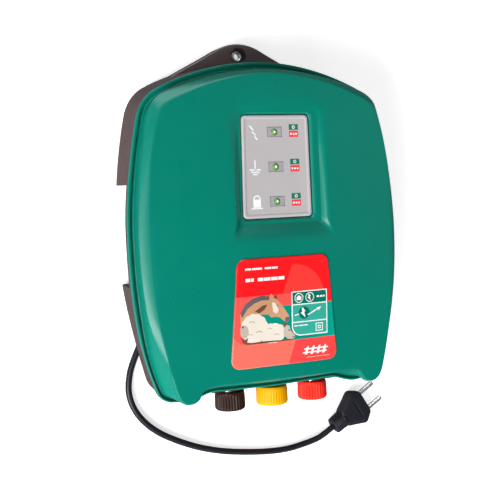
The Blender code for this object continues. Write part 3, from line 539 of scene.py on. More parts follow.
def wall_rings():
    """Lip, groove and steep wall of the cover, up to the shoulder."""
    rings = []
    share = [clamp01((p.y + 125 * MM) / (50 * MM)) for p in FLANGE]
    for narrow, wide, rise in LIP:
        foot = [a.lerp(b, t) for a, b, t in zip(inset(FLANGE, narrow * MM), inset(FLANGE, wide * MM), share)]
        rings.append(at_height(foot, FLANGE_Z + rise * MM))
    low = FLANGE_Z + LIP[-1][2] * MM
    wall = blend(foot, SHOULDER, 0.97)
    for step in range(1, WALL_RINGS + 1):
        t = step / WALL_RINGS
        rings.append(risen(blend(foot, wall, t ** 1.5),
                           [low + (z - ROUND_DROP - low) * t for z in SHOULDER_TOP]))
    for share, drop in ((0.35, 0.85), (0.7, 0.4), (1.0, 0.1)):
        rings.append(risen(blend(wall, SHOULDER, share), [z - drop * MM for z in SHOULDER_TOP]))
    return rings


def pocket_rings():
    """From the face's edge in to the display pocket, its floor and the panel's seat."""
    field = inset(FACE, FACE_EDGE)
    crest, floor, edge, seat = (cast(FACE, POCKET_CENTRE, outline)
                                for outline in (POCKET_CREST, POCKET_FLOOR, SEAT_EDGE, SEAT))
    rings = [on_face(blend(field, crest, step / FIELD_RINGS)) for step in range(FIELD_RINGS + 1)]
    for step in range(1, POCKET_RINGS + 1):
        t = step / POCKET_RINGS
        ring = []
        for top, point in zip(crest, blend(crest, floor, t)):
            ledge = clamp01((6 * MM - top.y) / (12 * MM))
            fall = (1 - ledge) * t ** 1.8 + ledge * t ** 1.6
            high = face_height(point.x, point.y)
            ring.append(Vector((point.x, point.y, high + (FLOOR_Z - high) * fall)))
        rings.append(ring)
    rings += [at_height(blend(floor, edge, 0.5), FLOOR_Z), at_height(edge, FLOOR_Z)]
    for share, drop in ((0.06, 0.03), (0.15, 0.12), (0.85, 1.05), (0.95, 1.3), (1.0, 1.6)):
        rings.append(at_height(blend(edge, seat, share), FLOOR_Z - drop * MM))
    return rings + [at_height(seat, SEAT_Z), at_height([POCKET_CENTRE.lerp(p, 0.9) for p in seat], SEAT_Z)]


def cover_rings():
    rings = wall_rings()
    crease = [point.z for point in on_face(FACE)]
    for step in range(1, BAND_RINGS):
        t = step / BAND_RINGS
        crown = BAND_CROWN * 4 * t * (1 - t)
        rings.append(risen(blend(SHOULDER, FACE, t),
                           [z + (edge - z) * t + crown for z, edge in zip(SHOULDER_TOP, crease)]))
    rings.append(risen(blend(SHOULDER, FACE, 0.95), [edge - 0.3 * MM for edge in crease]))
    rings.append(on_face(inset(FACE, 0.35 * MM), -0.04 * MM))
    return rings + pocket_rings()


def cover_hollow():
    pocket = cast(FACE, POCKET_CENTRE, rounded_polygon(panel_corners(58, -17, 107), 9.0))
    seat = cast(FACE, POCKET_CENTRE, rounded_polygon(panel_corners(42, -2, 103), 7.0))
    foot = inset(FLANGE, 9.0 * MM)
    top = inset(FACE, 2.9 * MM)
    rings = [at_height(foot, FLANGE_Z - 1 * MM), at_height(foot, FLANGE_Z + 1.0 * MM)]
    shelf = inset(SHOULDER, 3.2 * MM)
    for t in (0.4, 0.75, 1.0):
        rings.append(at_height(blend(foot, shelf, t),
                               FLANGE_Z + 1.0 * MM + (SHOULDER_Z - FLANGE_Z - 5.0 * MM) * t))
    rings.append(on_face(top, -SKIN - 0.6 * MM))
    for share in (0.33, 0.66, 1.0):
        rings.append(on_face(blend(top, pocket, share), -SKIN - 0.3 * MM))
    rings.append(at_height(seat, SEAT_Z - SKIN))
    rings.append(at_height([POCKET_CENTRE.lerp(p, 0.6) for p in seat], SEAT_Z - SKIN))
    return [ring[::4] for ring in rings]


def make_front_cover(finish):
    cover = add_shell("front_cover_shell", cover_rings(), finish, "green_cover", "front_cover")
    boolean(cover, ring_cutter("cover_hollow", cover_hollow()))
    half = Vector((WINDOW[0] / 2 - 1.2 * MM, WINDOW[1] / 2 - 1.2 * MM))
    for index, y in enumerate(LED_Y):
        boolean(cover, box_cutter(f"window_hole_{index}", (-half.x, y - half.y, SEAT_Z - 8 * MM),
                                  (half.x, y + half.y, SEAT_Z + 5 * MM)))
    finish_cut(cover, 38)


# ---------------------------------------------------------------- rear housing

RIM_UNDER = 61.0 * MM
WALL_FOOT = 10 * MM
CHANNEL = (8 * MM, 13 * MM)
SLOT = (4.2 * MM, 8.4 * MM)
GRIP_Y = (-50.5 * MM, 41.0 * MM)
GRIP_FACE = 108.4 * MM


def housing_rings():
    wall_top = RIM_UNDER - 0.5 * MM
    rim = [(0.7, FLANGE_Z), (0.5, FLANGE_Z - 0.3 * MM), (0.5, RIM_UNDER + 0.4 * MM), (0.8, RIM_UNDER),
           (1.6, wall_top)]
    rings = [at_height(inset(FLANGE, side * MM), height) for side, height in rim]
    top = inset(FLANGE, 1.6 * MM)
    for share in (step / 8 for step in range(1, 9)):
        rings.append(at_height(blend(top, BACK, share),
                               wall_top + (WALL_FOOT - RIM_UNDER + 0.5 * MM) * share))
    for angle in quarter_angles(8, 1):
        rings.append(at_height(inset(BACK, 8.0 * MM * (1 - math.cos(angle))),
                               WALL_FOOT * (1 - math.sin(angle))))
    return rings


def housing_hollow():
    top = inset(FLANGE, 1.6 * MM + SKIN)
    deep = inset(BACK, SKIN)
    rings = [at_height(top, FLANGE_Z + 1 * MM), at_height(deep, WALL_FOOT + SKIN),
             at_height(inset(deep, 2.6 * MM), 3.0 * MM + SKIN), at_height(inset(deep, 8.0 * MM), SKIN)]
    return [ring[::4] for ring in rings]


def channel_box(name, start, end, section, skin_over=0.0):
    """Box along the cord's channel, from start to end, with the section's half width and height."""
    half_width, height = (size + skin_over for size in section)
    way = CHANNEL_WAY.to_track_quat("X", "Z").to_matrix().to_4x4()
    return box_cutter(name, (start, -half_width, -1 * MM), (end, half_width, height),
                      Matrix.Translation(CHANNEL_START) @ way)


def tab_rings():
    half = smooth_path(TAB_NODES, [22, 20, 6]) + [Vector((84.0, 118.0)) * MM, Vector((0.0, 118.0)) * MM]
    loop = mirrored(half)
    rings = [at_height(inset(loop, 1.6 * MM * (1 - math.sin(angle))),
                       TAB_FRONT - 1.6 * MM * (1 - math.cos(angle)))
             for angle in quarter_angles(6)]
    return rings + [at_height(loop, TAB_BACK)]


def make_rear_housing(finish):
    housing = add_shell("rear_housing_shell", housing_rings(), finish, "brown_housing", "rear_housing")
    hollow = ring_cutter("housing_hollow", housing_hollow())
    for side in (-1, 1):
        outer = sorted((side * GRIP_FACE, side * 160 * MM))
        inner = sorted((side * (GRIP_FACE - SKIN), side * 160 * MM))
        boolean(hollow, box_cutter(f"grip_wall_{side}", (inner[0], GRIP_Y[0] - SKIN, -1 * MM),
                                   (inner[1], GRIP_Y[1] + SKIN, RIM_UNDER + 1.5 * MM)))
        boolean(housing, box_cutter(f"grip_{side}", (outer[0], GRIP_Y[0], -9 * MM),
                                    (outer[1], GRIP_Y[1], RIM_UNDER - 1.2 * MM), rounding=3.0 * MM))
    boolean(housing, ring_cutter("tab_body", tab_rings()), "UNION")
    boolean(housing, box_cutter("terminal_land", (-58 * MM, -151 * MM, KNOB_Z - 16 * MM),
                                (71 * MM, -139 * MM, RIM_UNDER + 1 * MM)), "UNION")
    boolean(hollow, channel_box("channel_shell", -24 * MM - SKIN, 28 * MM + SKIN, CHANNEL, SKIN))
    boolean(hollow, channel_box("slot_shell", 26 * MM, 46 * MM, SLOT, SKIN))
    boolean(housing, hollow)
    boolean(housing, channel_box("cord_channel", -24 * MM, 28 * MM, CHANNEL))
    boolean(housing, channel_box("cord_slot", 26 * MM, 62 * MM, SLOT))
    for index, x in enumerate(KNOB_X):
        boolean(housing, drum_cutter(f"stud_hole_{index}", 6.2 * MM, 135 * MM, 160 * MM, stud_axis(x),
                                     sides=40))
    for index, (x, y) in enumerate(SCREW_SPOTS):
        boolean(housing, drum_cutter(f"screw_well_{index}", 4.2 * MM, -1 * MM, 40 * MM, upright(x, y),
                                     sides=40))
    half = smooth_path([(0, 167.2, 0), (20.5, 161.9, -29), (33, 155.2, -28)], [12, 8])
    loop = mirrored(half + [Vector((33.0, 154.6)) * MM, Vector((0.0, 154.6)) * MM])
    boolean(housing, ring_cutter("tab_hollow", [at_height(loop, TAB_FRONT - 8 * MM), at_height(loop,
                                                                                               -1 * MM)]))
    boolean(housing, drum_cutter("tab_bore", HOLE_RADIUS, -1 * MM, 40 * MM, upright(0, HOLE_Y)))
    boolean(housing, drum_cutter("tab_well", 7.8 * MM, TAB_FRONT - 5 * MM, 40 * MM, upright(0, HOLE_Y)))
    finish_cut(housing, 30)


# ---------------------------------------------------------------- display

def make_panel(finish):
    middle = Vector((0.0, sum(PANEL_Y) / 2))
    circle = [middle + Vector((math.sin(a), math.cos(a))) for a in round_angles(288)]

    def loop(shrink):
        top = PANEL_Y[1] / MM - shrink
        low = PANEL_Y[0] / MM + shrink
        outline = [(shrink - 31.7, top), (33.7 - shrink, top), (34.3 - shrink, low), (shrink - 33.7, low)]
        return cast(circle, middle, rounded_polygon(outline, max(1.0, 4.4 - 0.8 * shrink), 14))
    low = PANEL_LOW
    rings = [at_height(loop(0), low)]
    for angle in quarter_angles(7):
        rings.append(at_height(loop(1.5 * (1 - math.cos(angle))), PANEL_Z - 1.5 * MM * (1 - math.sin(angle))))
    for shrink, drop in ((2.2, 0.0), (2.5, 0.04), (2.9, 0.2), (3.3, 0.42), (3.6, 0.52), (4.2, PANEL_DIP)):
        rings.append(at_height(loop(shrink), PANEL_Z - drop * MM))
    panel = add_shell("led_panel_plate", rings, finish, "panel_grey", "led_panel")
    for index, y in enumerate(LED_Y):
        boolean(panel, box_cutter(f"panel_hole_{index}", (-WINDOW[0] / 2, y - WINDOW[1] / 2, low - 1 * MM),
                                  (WINDOW[0] / 2, y + WINDOW[1] / 2, PANEL_Z + 1 * MM)))
    finish_cut(panel, 40)


LED_DOME = [(0.01, 94.3), (0.75, 94.25), (1.45, 94.1), (2.05, 93.85), (2.55, 93.5), (2.85, 93.0),
            (2.95, 92.4),
            (2.95, 86.0), (3.0, 85.9), (3.0, 82.2), (0.01, 82.2)]


def make_windows(window_finish, led_finish):
    low = PANEL_LOW
    high = PANEL_Z - 0.75 * MM
    gap = 0.25 * MM
    size = ((WINDOW[0] / 2 - gap) * 2, (WINDOW[1] / 2 - gap) * 2, high - low)
    rings = turned_rings(LED_DOME, 48, Matrix.Identity(4))
    for number, y in enumerate(LED_Y, 1):
        middle = (0, y, (low + high) / 2)
        window = add_piece(f"led_window_plate_{number}",
                           lambda shape: fill_box(shape, size, middle, gap, 2, 0.0),
                           window_finish, "window_grey", f"led_window_{number}")
        boolean(window, drum_cutter(f"led_hole_{number}", 3.15 * MM, 80 * MM, 100 * MM, upright(0, y)))
        finish_cut(window, 30)
        lens = add_shell(f"led_lens_{number}", rings, led_finish, "led_green", f"led_{number}")
        lens.location = (0, y, 0)
        finish_mesh(lens, 50)


def led_material():
    """Lit lens: a white-hot centre, a green body and a darker rim, by distance from its axis."""
    made, tree, shader = new_material("led_lens_green", (0.08, 0.45, 0.05), 0.18)
    place = node(tree, "ShaderNodeTexCoord").outputs["Object"]
    flat = node(tree, "ShaderNodeMapping", {"Vector": place, "Scale": (1000, 1000, 0)})
    reach = node(tree, "ShaderNodeVectorMath", {0: flat.outputs[0]}, operation="LENGTH").outputs["Value"]
    share = calc(tree, "DIVIDE", reach, 3.0)
    body = node(tree, "ShaderNodeValToRGB", {"Fac": share})
    stops = [(0.0, (1.0, 1.0, 0.9, 1)), (0.2, (0.95, 1.0, 0.7, 1)), (0.36, (0.10, 0.42, 0.03, 1)),
             (0.7, (0.09, 0.32, 0.03, 1)), (1.0, (0.12, 0.30, 0.06, 1))]
    for position, colour in stops[1:-1]:
        body.color_ramp.elements.new(position)
    for element, (position, colour) in zip(body.color_ramp.elements, stops):
        element.position = position
        element.color = colour
    tree.links.new(body.outputs["Color"], shader.inputs["Base Color"])
    tree.links.new(body.outputs["Color"], shader.inputs["Emission Color"])
    glow = ramp(tree, share, grey(0.8), grey(0.02), 0.18, 0.36)
    tree.links.new(glow, shader.inputs["Emission Strength"])
    return made


# ---------------------------------------------------------------- printed shapes

INK = 0.03 * MM
INK_LAYER = 0.04 * MM


def printed(name, shapes, surface, finishes, slot_name, lift, grid=3.0 * MM):
    """Flat printed shapes laid on a surface: (outline in mm, finish index, layer) each."""
    shape = bmesh.new()
    for outline, finish_index, layer in shapes:
        part = bmesh.new()
        verts = [part.verts.new((x * MM, y * MM, 0)) for x, y in outline]
        face = part.faces.new(verts)
        face.normal_update()
        if face.normal.z < 0:
            face.normal_flip()
        for axis, way in enumerate((Vector((1, 0, 0)), Vector((0, 1, 0)))):
            values = [vert.co[axis] for vert in verts]
            for k in range(math.ceil(min(values) / grid), math.floor(max(values) / grid) + 1):
                bmesh.ops.bisect_plane(part, geom=list(part.verts) + list(part.edges) + list(part.faces),
                                       plane_co=way * (k * grid), plane_no=way, dist=1e-7)
        bmesh.ops.triangulate(part, faces=[f for f in part.faces if len(f.verts) > 4])
        copies = {}
        for vert in part.verts:
            up = surface(vert.co.x, vert.co.y) + lift + layer * INK_LAYER
            copies[vert] = shape.verts.new((vert.co.x, vert.co.y, up))
        for old in part.faces:
            new = shape.faces.new([copies[v] for v in old.verts])
            new.material_index = finish_index
            new.smooth = False
        part.free()
    mesh = bpy.data.meshes.new(name)
    shape.to_mesh(mesh)
    shape.free()
    for finish in finishes:
        mesh.materials.append(finish)
    film = place(link(name, mesh), None, slot_name).modifiers.new("film", "SOLIDIFY")
    film.thickness = INK
    film.offset = 1.0


def circle_points(x, y, radius, count=40, squash=1.0):
    return [(x + radius * math.cos(a), y + radius * squash * math.sin(a)) for a in round_angles(count)]


def bar(x0, y0, x1, y1, width):
    way = Vector((x1 - x0, y1 - y0)).normalized() * width / 2
    side = Vector((-way.y, way.x))
    return [(x0 + side.x, y0 + side.y), (x0 - side.x, y0 - side.y), (x1 - side.x, y1 - side.y),
            (x1 + side.x, y1 + side.y)]


def rect(x0, y0, x1, y1):
    return [(x0, y0), (x1, y0), (x1, y1), (x0, y1)]


def panel_top(x, y):
    return PANEL_Z - PANEL_DIP * MM


BOLT = [(-1.6, 6.0), (0.6, 6.4), (3.9, 1.2), (2.0, 1.4), (3.6, -6.2), (-3.4, 0.4), (-0.6, 0.6)]


def moved(outline, x, y, scale=1.0):
    return [(x + px * scale, y + py * scale) for px, py in outline]


def make_panel_print(finishes):
    zigzag = [(-24.2, 87.6), (-20.6, 83.2), (-22.4, 82.2), (-18.6, 79.4), (-20.0, 78.4), (-17.2, 74.8)]
    shapes = [(bar(*a, *b, 1.35), 0, 0) for a, b in zip(zigzag, zigzag[1:])]
    shapes.append((bar(-20.4, 48.4, -20.4, 57.2, 1.2), 0, 0))
    for width, y in ((11.0, 48.6), (8.0, 46.5), (4.6, 44.5)):
        shapes.append((bar(-20.4 - width / 2, y, -20.4 + width / 2, y, 1.15), 0, 0))
    arch = [(-20.0 + 3.7 * math.cos(a), 22.0 + 4.2 * math.sin(a)) for a in np.linspace(0, math.pi, 13)]
    arch += [(-20.0 + 2.6 * math.cos(a), 22.0 + 3.1 * math.sin(a)) for a in np.linspace(math.pi, 0, 13)]
    shapes += [(arch, 0, 0), (rect(-23.7, 15.2, -16.3, 22.4), 0, 1),
               (bar(-25.8, 14.4, -14.6, 14.4, 1.1), 0, 2)]
    for y in LED_Y:
        centre = y / MM
        shapes.append((rect(14.3, centre + 1.6, 23.4, centre + 6.6), 1, 0))
        shapes.append((rect(14.3, centre - 4.8, 23.4, centre + 0.8), 2, 0))
        shapes.append((circle_points(18.85, centre + 4.1, 1.5, 24), 0, 1))
        shapes.append((circle_points(18.85, centre + 4.1, 0.8, 20), 1, 2))
        for side in (-2.6, 0.0, 2.6):
            shapes.append((bar(18.85 + side - 0.8, centre - 2.0, 18.85 + side + 0.8, centre - 2.0, 1.7), 0,
                           1))
    printed("panel_print", shapes, panel_top, finishes, "panel_grey", 0.01 * MM, grid=12 * MM)


LABEL_TOP = Vector((45.2, -29.2)) * MM
LABEL_BOTTOM = Vector((52.3, -126.3)) * MM
LABEL_CORNER = 8.0 * MM
LABEL_LIFT = 1.25 * MM


def channel_share(y):
    """Depth share of the channel: full beside the red head, almost none below it."""
    return 0.12 + 0.88 * clamp01((y + 78 * MM) / (20 * MM))


def label_loop(shrink, points=14):
    lean = math.atan2(LABEL_BOTTOM.x - LABEL_TOP.x, LABEL_TOP.y - LABEL_BOTTOM.y)
    top = LABEL_TOP + Vector((-LABEL_CORNER, -LABEL_CORNER))
    low = LABEL_BOTTOM + Vector((-LABEL_CORNER, LABEL_CORNER))
    radius = LABEL_CORNER - shrink

    def arc(centre, first, last):
        return [centre + Vector((math.cos(first + (last - first) * i / points),
                                 math.sin(first + (last - first) * i / points))) * radius
                for i in range(points + 1)]
    upper = arc(top, math.pi / 2, lean)
    lower = arc(low, lean, -math.pi / 2)
    half = [Vector((top.x * i / 16, LABEL_TOP.y - shrink)) for i in range(16)] + upper
    half += [upper[-1].lerp(lower[0], i / 40) for i in range(1, 40)] + lower
    half += [Vector((low.x * (15 - i) / 16, LABEL_BOTTOM.y + shrink)) for i in range(16)]
    return mirrored(half)


def make_label(finish):
    """Tapered label moulded in clear resin, with a shallow channel just inside its edge."""
    middle = Vector((0.0, (LABEL_TOP.y + LABEL_BOTTOM.y) / 2))
    rings = [on_face(label_loop(0.0), 0.1 * MM)]
    for angle in quarter_angles(5):
        rings.append(on_face(label_loop(0.9 * MM * (1 - math.cos(angle))),
                             0.35 * MM + 0.85 * MM * math.sin(angle)))
    for step in range(1, 13):
        t = step / 12
        dip = 0.5 - 0.5 * math.cos(2 * math.pi * t)
        rings.append([Vector((p.x, p.y, p.z - 0.5 * MM * dip * channel_share(p.y)))
                      for p in on_face(label_loop((1.5 + 4.6 * t) * MM), LABEL_LIFT - 0.05 * MM * (1 - t))])
    inner = label_loop(6.4 * MM)
    rings.append(on_face(inner, LABEL_LIFT))
    for step in range(1, 20):
        rings.append(on_face([point.lerp(middle, step / 20) for point in inner], LABEL_LIFT))
    finish_mesh(add_shell("label_plate_domed", rings, finish, "label_film", "label_plate"), 60)


def label_material():
    """Printed film under clear resin: red head, green band and salmon foot, by place on the label."""
    made, tree, shader = new_material("label_resin", (1.0, 0.01, 0.014), 0.14, Specular_IOR_Level=0.5)
    spot = node(tree, "ShaderNodeSeparateXYZ", {0: node(tree, "ShaderNodeTexCoord").outputs["Object"]})
    x, y = (calc(tree, "MULTIPLY", spot.outputs[axis], 1000.0) for axis in "XY")

    def maths(operation, *values):
        return calc(tree, operation, *values)

    def above(value, limit, soft=0.5):
        limits = {"Value": value, "From Min": limit - soft / 2, "From Max": limit + soft / 2}
        return node(tree, "ShaderNodeMapRange", limits, clamp=True).outputs["Result"]

    def both(*masks):
        result = masks[0]
        for mask in masks[1:]:
            result = maths("MULTIPLY", result, mask)
        return result

    def neither(mask):
        return maths("SUBTRACT", 1.0, mask)
    drift = ramp(tree, noise(tree, 9.0, 3.0, 0.5), (0.93, 0.008, 0.012), (1.0, 0.012, 0.016))
    far = maths("SQRT", maths("ADD", maths("POWER", maths("SUBTRACT", x, 9.5), 2.0),
                                      maths("POWER", maths("ADD", y, 66.8), 2.0)))
    slant = maths("SUBTRACT", x, maths("MULTIPLY", maths("ADD", y, 36.5), 0.392))
    disc = both(neither(above(far, 30.3, 0.8)), above(slant, 8.0))
    colour = over(tree, drift, disc, (1.0, 0.042, 0.034))
    colour = over(tree, colour, neither(above(y, -62.3)), (1.0, 0.085, 0.075))
    right = both(above(x, 6.0), above(y, -72.7))
    colour = over(tree, colour, both(right, neither(above(y, -62.3))), (1.0, 0.012, 0.016))
    fade = ramp(tree, maths("DIVIDE", x, 60.0), (0.0, 0.26, 0.19), (0.0, 0.35, 0.26), 0.4, 0.9)
    band = both(above(x, -26.0), neither(above(y, -72.7)))
    colour = over(tree, colour, band, fade)
    rise = maths("MULTIPLY", maths("POWER", maths("MAXIMUM", maths("SUBTRACT", -38.0, x), 0.0), 2.0),
                     0.045)
    foot = neither(above(maths("SUBTRACT", y, rise), -104.7))
    colour = over(tree, colour, foot, (1.0, 0.15, 0.11))
    slope = maths("SUBTRACT", x, maths("MULTIPLY", maths("ADD", y, 104.7), 0.33))
    colour = over(tree, colour, both(foot, above(slope, 10.0)), (1.0, 0.06, 0.06))
    tree.links.new(colour, shader.inputs["Base Color"])
    tree.links.new(ramp(tree, noise(tree, 60.0, 4.0, 0.6), grey(0.12), grey(0.17)),
                   shader.inputs["Roughness"])
    add_bump(tree, shader, noise(tree, 120.0, 2.0, 0.5), 0.15, 0.00003)
    return made


def fleece(x, y, across, up, bumps):
    """Scalloped outline of a woolly body."""
    outline = []
    for angle in round_angles(bumps * 8):
        wave = 1 + 0.055 * abs(math.sin(angle * bumps / 2))
        outline.append((x + across * wave * math.cos(angle), y + up * wave * math.sin(angle)))
    return outline


# Inks of the label's print, in the order of its finishes
WHITE, DEEP, TEAL, TAN, MANE, CREAM, SHADE, BROWN, PINK = range(9)


def animal_shapes():
    neck = [(-43.5, -77.5), (-38.5, -70.5), (-31.0, -66.0), (-23.0, -64.2), (-15.5, -65.2), (-13.6, -61.0),
            (-11.2, -64.6), (-7.5, -67.5), (-3.0, -72.6), (0.8, -78.0), (3.6, -82.6), (4.0, -86.0),
            (1.6, -87.8),
            (-1.6, -86.4), (-5.4, -83.2), (-9.8, -82.0), (-14.0, -82.4), (-17.0, -79.4), (-24.0, -79.0),
            (-30.0, -79.0), (-37.0, -82.0), (-43.5, -86.0)]
    mane = [(-43.5, -76.0), (-38.8, -68.6), (-31.2, -64.0), (-23.0, -62.3), (-15.3, -63.4), (-15.8, -66.6),
            (-23.0, -66.4), (-30.0, -68.6), (-36.6, -73.0), (-42.0, -80.5)]
    shapes = [(neck, TAN, 0), (mane, MANE, 1),
              ([(-11.4, -65.0), (-9.2, -61.0), (-7.4, -66.6)], BROWN, 1),
              ([(-30.0, -76.0), (-22.0, -71.0), (-17.5, -70.5), (-20.0, -74.5), (-25.0, -77.6)], BROWN, 1),
              ([(0.4, -83.2), (3.8, -83.4), (3.9, -86.0), (1.6, -87.7), (-0.8, -86.2)], MANE, 1),
              (circle_points(-7.4, -72.0, 1.0, 16, 0.8), MANE, 2),
              (circle_points(-7.1, -71.8, 0.35, 10), WHITE, 3),
              ([(-13.0, -69.0), (-10.0, -69.5), (-6.5, -76.0), (-8.5, -79.5), (-12.0, -77.5)], CREAM, 1),
              (fleece(-30.5, -91.0, 12.6, 12.8, 13), CREAM, 2),
              (fleece(-13.0, -96.5, 13.0, 8.6, 12), CREAM, 3),
              (circle_points(-40.0, -93.0, 4.0, 28, 1.45), SHADE, 3),
              (circle_points(-41.5, -88.6, 1.1, 14), MANE, 4),
              ([(-43.6, -98.0), (-40.0, -100.4), (-36.5, -98.4), (-37.8, -102.6), (-41.6, -103.2)], BROWN, 4),
              ([(0.5, -90.5), (3.5, -91.2), (5.0, -96.0), (9.2, -100.4), (8.6, -103.2), (3.0, -103.6),
                (-2.0, -100.0), (-2.4, -94.0)], SHADE, 4),
              ([(-2.6, -92.6), (0.8, -90.4), (1.6, -88.2), (-1.6, -89.0)], BROWN, 5),
              (circle_points(3.4, -95.4, 0.8, 14), MANE, 5),
              (circle_points(7.6, -101.6, 0.9, 14, 0.7), BROWN, 5)]
    for x, y, size in ((-33.0, -86.0, 3.2), (-26.0, -95.5, 3.6), (-34.5, -97.0, 2.8), (-16.0, -93.0, 2.6),
                       (-9.0, -99.0, 3.0)):
        curl = [(x + size * math.cos(a), y + size * 0.6 * math.sin(a)) for a in np.linspace(0.3, 2.6, 9)]
        curl += [(x + size * 0.82 * math.cos(a), y - 0.5 + size * 0.5 * math.sin(a))
                 for a in np.linspace(2.6, 0.3, 9)]
        shapes.append((curl, SHADE, 4))
    ground = [(-42.0, -102.4), (-33.0, -103.4), (-20.0, -103.0), (-6.0, -103.6), (4.0, -103.2), (6.0, -104.6),
              (-38.0, -104.9)]
    shapes.append((ground, BROWN, 5))
    return shapes


def plate_shapes():
    corner, inner = ([(15.3 + radius * math.cos(a), -92.5 + radius * math.sin(a))
                      for a in np.linspace(math.pi, 1.5 * math.pi, 12)] for radius in (9.0, 8.0))
    shapes = [([(42.7, -61.0), (6.3, -61.0)] + corner + [(42.7, -101.5)], WHITE, 0),
              (rect(7.3, -72.5, 41.7, -62.0), DEEP, 1), (rect(7.3, -88.5, 41.7, -73.6), TEAL, 1),
              ([(41.7, -89.5), (7.3, -89.5)] + inner + [(41.7, -100.5)], TEAL, 1)]
    for x in (13.8, 24.8):
        shapes += [(circle_points(x, -67.2, 4.4), WHITE, 2), (circle_points(x, -67.2, 4.4 - 0.7), DEEP, 3)]
    house = [(11.4, -69.2), (11.4, -66.6), (13.8, -64.6), (16.2, -66.6), (16.2, -69.2)]
    shapes += [(house, WHITE, 4), (moved(BOLT, 23.9, -67.2, 0.5), WHITE, 4)]
    for x, width in ((32.0, 2.6), (35.4, 2.6), (38.8, 1.6)):
        shapes.append((bar(x, -67.2, x + width, -67.2, 1.6), WHITE, 2))
    shapes += [(circle_points(18.8, -80.8, 5.6), DEEP, 2), (moved(BOLT, 17.4, -80.8, 0.72), WHITE, 3)]
    shapes += [(bar(9.2, -82.6, 13.6, -81.8, 1.0), WHITE, 3), (bar(22.5, -83.2, 34.5, -77.6, 1.1), WHITE, 3)]
    shapes.append(([(36.6, -76.6), (31.8, -77.4), (33.6, -80.2)], WHITE, 3))
    for x, width in ((8.8, 3.4), (13.0, 5.0), (18.8, 3.4)):
        shapes.append((bar(x, -92.2, x + width, -92.2, 1.1), WHITE, 2))
    shapes += [(rect(30.4, -98.8, 37.8, -91.4), WHITE, 2), (rect(31.2, -98.0, 37.0, -92.2), TEAL, 3),
               (rect(32.6, -96.6, 35.6, -93.6), WHITE, 4), (rect(33.3, -95.9, 34.9, -94.3), TEAL, 5)]
    return shapes


def make_label_print(finishes):
    shapes = animal_shapes() + plate_shapes()
    for x, width in ((-37.6, 5.6), (-31.2, 9.6), (-19.0, 6.4), (-12.0, 5.6)):
        shapes.append((bar(x, -38.2, x + width, -38.2, 1.7), WHITE, 0))
    for x, width in ((-37.6, 4.6), (-32.2, 2.4), (-26.0, 5.2), (-20.2, 6.4), (-13.2, 6.4), (-6.2, 6.0)):
        shapes.append((bar(x, -47.8, x + width, -47.8, 2.9), WHITE, 0))
    for x in (19.0, 25.0, 31.0, 37.0):
        shapes.append(([(x, -119.4), (x + 2.4, -119.4), (x + 4.2, -113.0), (x + 3.8, -111.6),
                        (x + 1.9, -113.0)], WHITE, 0))
    shapes += [(bar(17.0, -117.6, 41.6, -117.6, 1.2), WHITE, 1),
               (bar(18.4, -114.4, 43.0, -114.4, 1.2), WHITE, 1),
               (bar(21.0, -122.0, 45.0, -122.0, 0.8), PINK, 0)]
    printed("label_print", shapes, face_height, finishes, "label_film", LABEL_LIFT + 0.01 * MM)


# ---------------------------------------------------------------- terminals

def make_knob(index, finish):
    """Fluted knob turned about its stud, with a crowned end."""
    name = KNOB_NAMES[index]
    radius = KNOB_RADIUS[index] / MM
    depth, flutes = KNOB_FLUTES[index]
    frame_to = stud_axis(KNOB_X[index])
    top = KNOB_TOP
    low = KNOB_BOTTOM
    profile = [(0.02, low - 3.7, 0), (KNOB_BORE, low - 3.7, 0), (KNOB_BORE, top + 9.3, 0),
               (KNOB_POCKET, top + 9.3, 0),
               (KNOB_POCKET, top, 0), (radius - 1.4, top, 0), (radius - 0.9, top + 0.15, 0),
               (radius - 0.6, top + 0.6, 0), (radius - 0.5, top + 1.8, 0), (radius - 0.3, top + 2.4, 0.5)]
    for step in range(1, 8):
        profile.append((radius - 0.3 + 0.3 * step / 7, top + 2.4 + 11.4 * step / 7, 1.0))
    for step, angle in enumerate(quarter_angles(9, 1), 1):
        profile.append((radius - 3.4 * (1 - math.cos(angle)), low - 3.4 * (1 - math.sin(angle)),
                        max(0.0, 1 - step / 6)))
    profile += [(radius - 5.5, low, 0), (radius - 6.2, low - 0.4, 0), (radius - 9.0, low - 0.5, 0),
                (0.02, low - 0.5, 0)]
    rings = []
    for size, height, flute in profile:
        ring = []
        for angle in round_angles(flutes * 10):
            wave = 0.5 - 0.5 * math.cos(angle * flutes)
            reach = (size - depth * flute * wave ** 1.6) * MM
            ring.append(frame_to @ Vector((reach * math.cos(angle), reach * math.sin(angle), height * MM)))
        rings.append(ring)
    finish_mesh(add_shell(f"knob_{name}_grip", rings, finish, f"knob_{name}", f"knob_{name}", f"knob_{name}"),
                40)


# ---------------------------------------------------------------- cord and plug

PLUG_TURN = math.radians(31)
PLUG_WAY = Vector((math.cos(PLUG_TURN), math.sin(PLUG_TURN), 0.0))
PLUG_Z = 9.4 * MM


def make_cord(finish, plug_pieces):
    points, length = smooth_route(CORD_ROUTE, 160)
    curve = bpy.data.curves.new("mains_cord_flex", "CURVE")
    curve.dimensions = "3D"
    curve.bevel_depth = CORD_RADIUS
    curve.bevel_resolution = 8
    curve.use_fill_caps = True
    line = curve.splines.new("POLY")
    line.points.add(len(points) - 1)
    for spot, point in zip(line.points, points):
        spot.co = (*point, 1.0)
    line.use_smooth = True
    cord = place(link("mains_cord_flex", curve), finish, "cord_black", ["mains_cord"])


def plug_section(half_width, half_height, station, count=64, power=0.55):
    """Rounded-square ring, flatter on its sides the lower the power."""
    points = []
    for angle in round_angles(count):
        c = math.cos(angle)
        s = math.sin(angle)
        points.append(Vector((half_width * math.copysign(abs(c) ** power, c),
                              half_height * math.copysign(abs(s) ** power, s), station)))
    return points


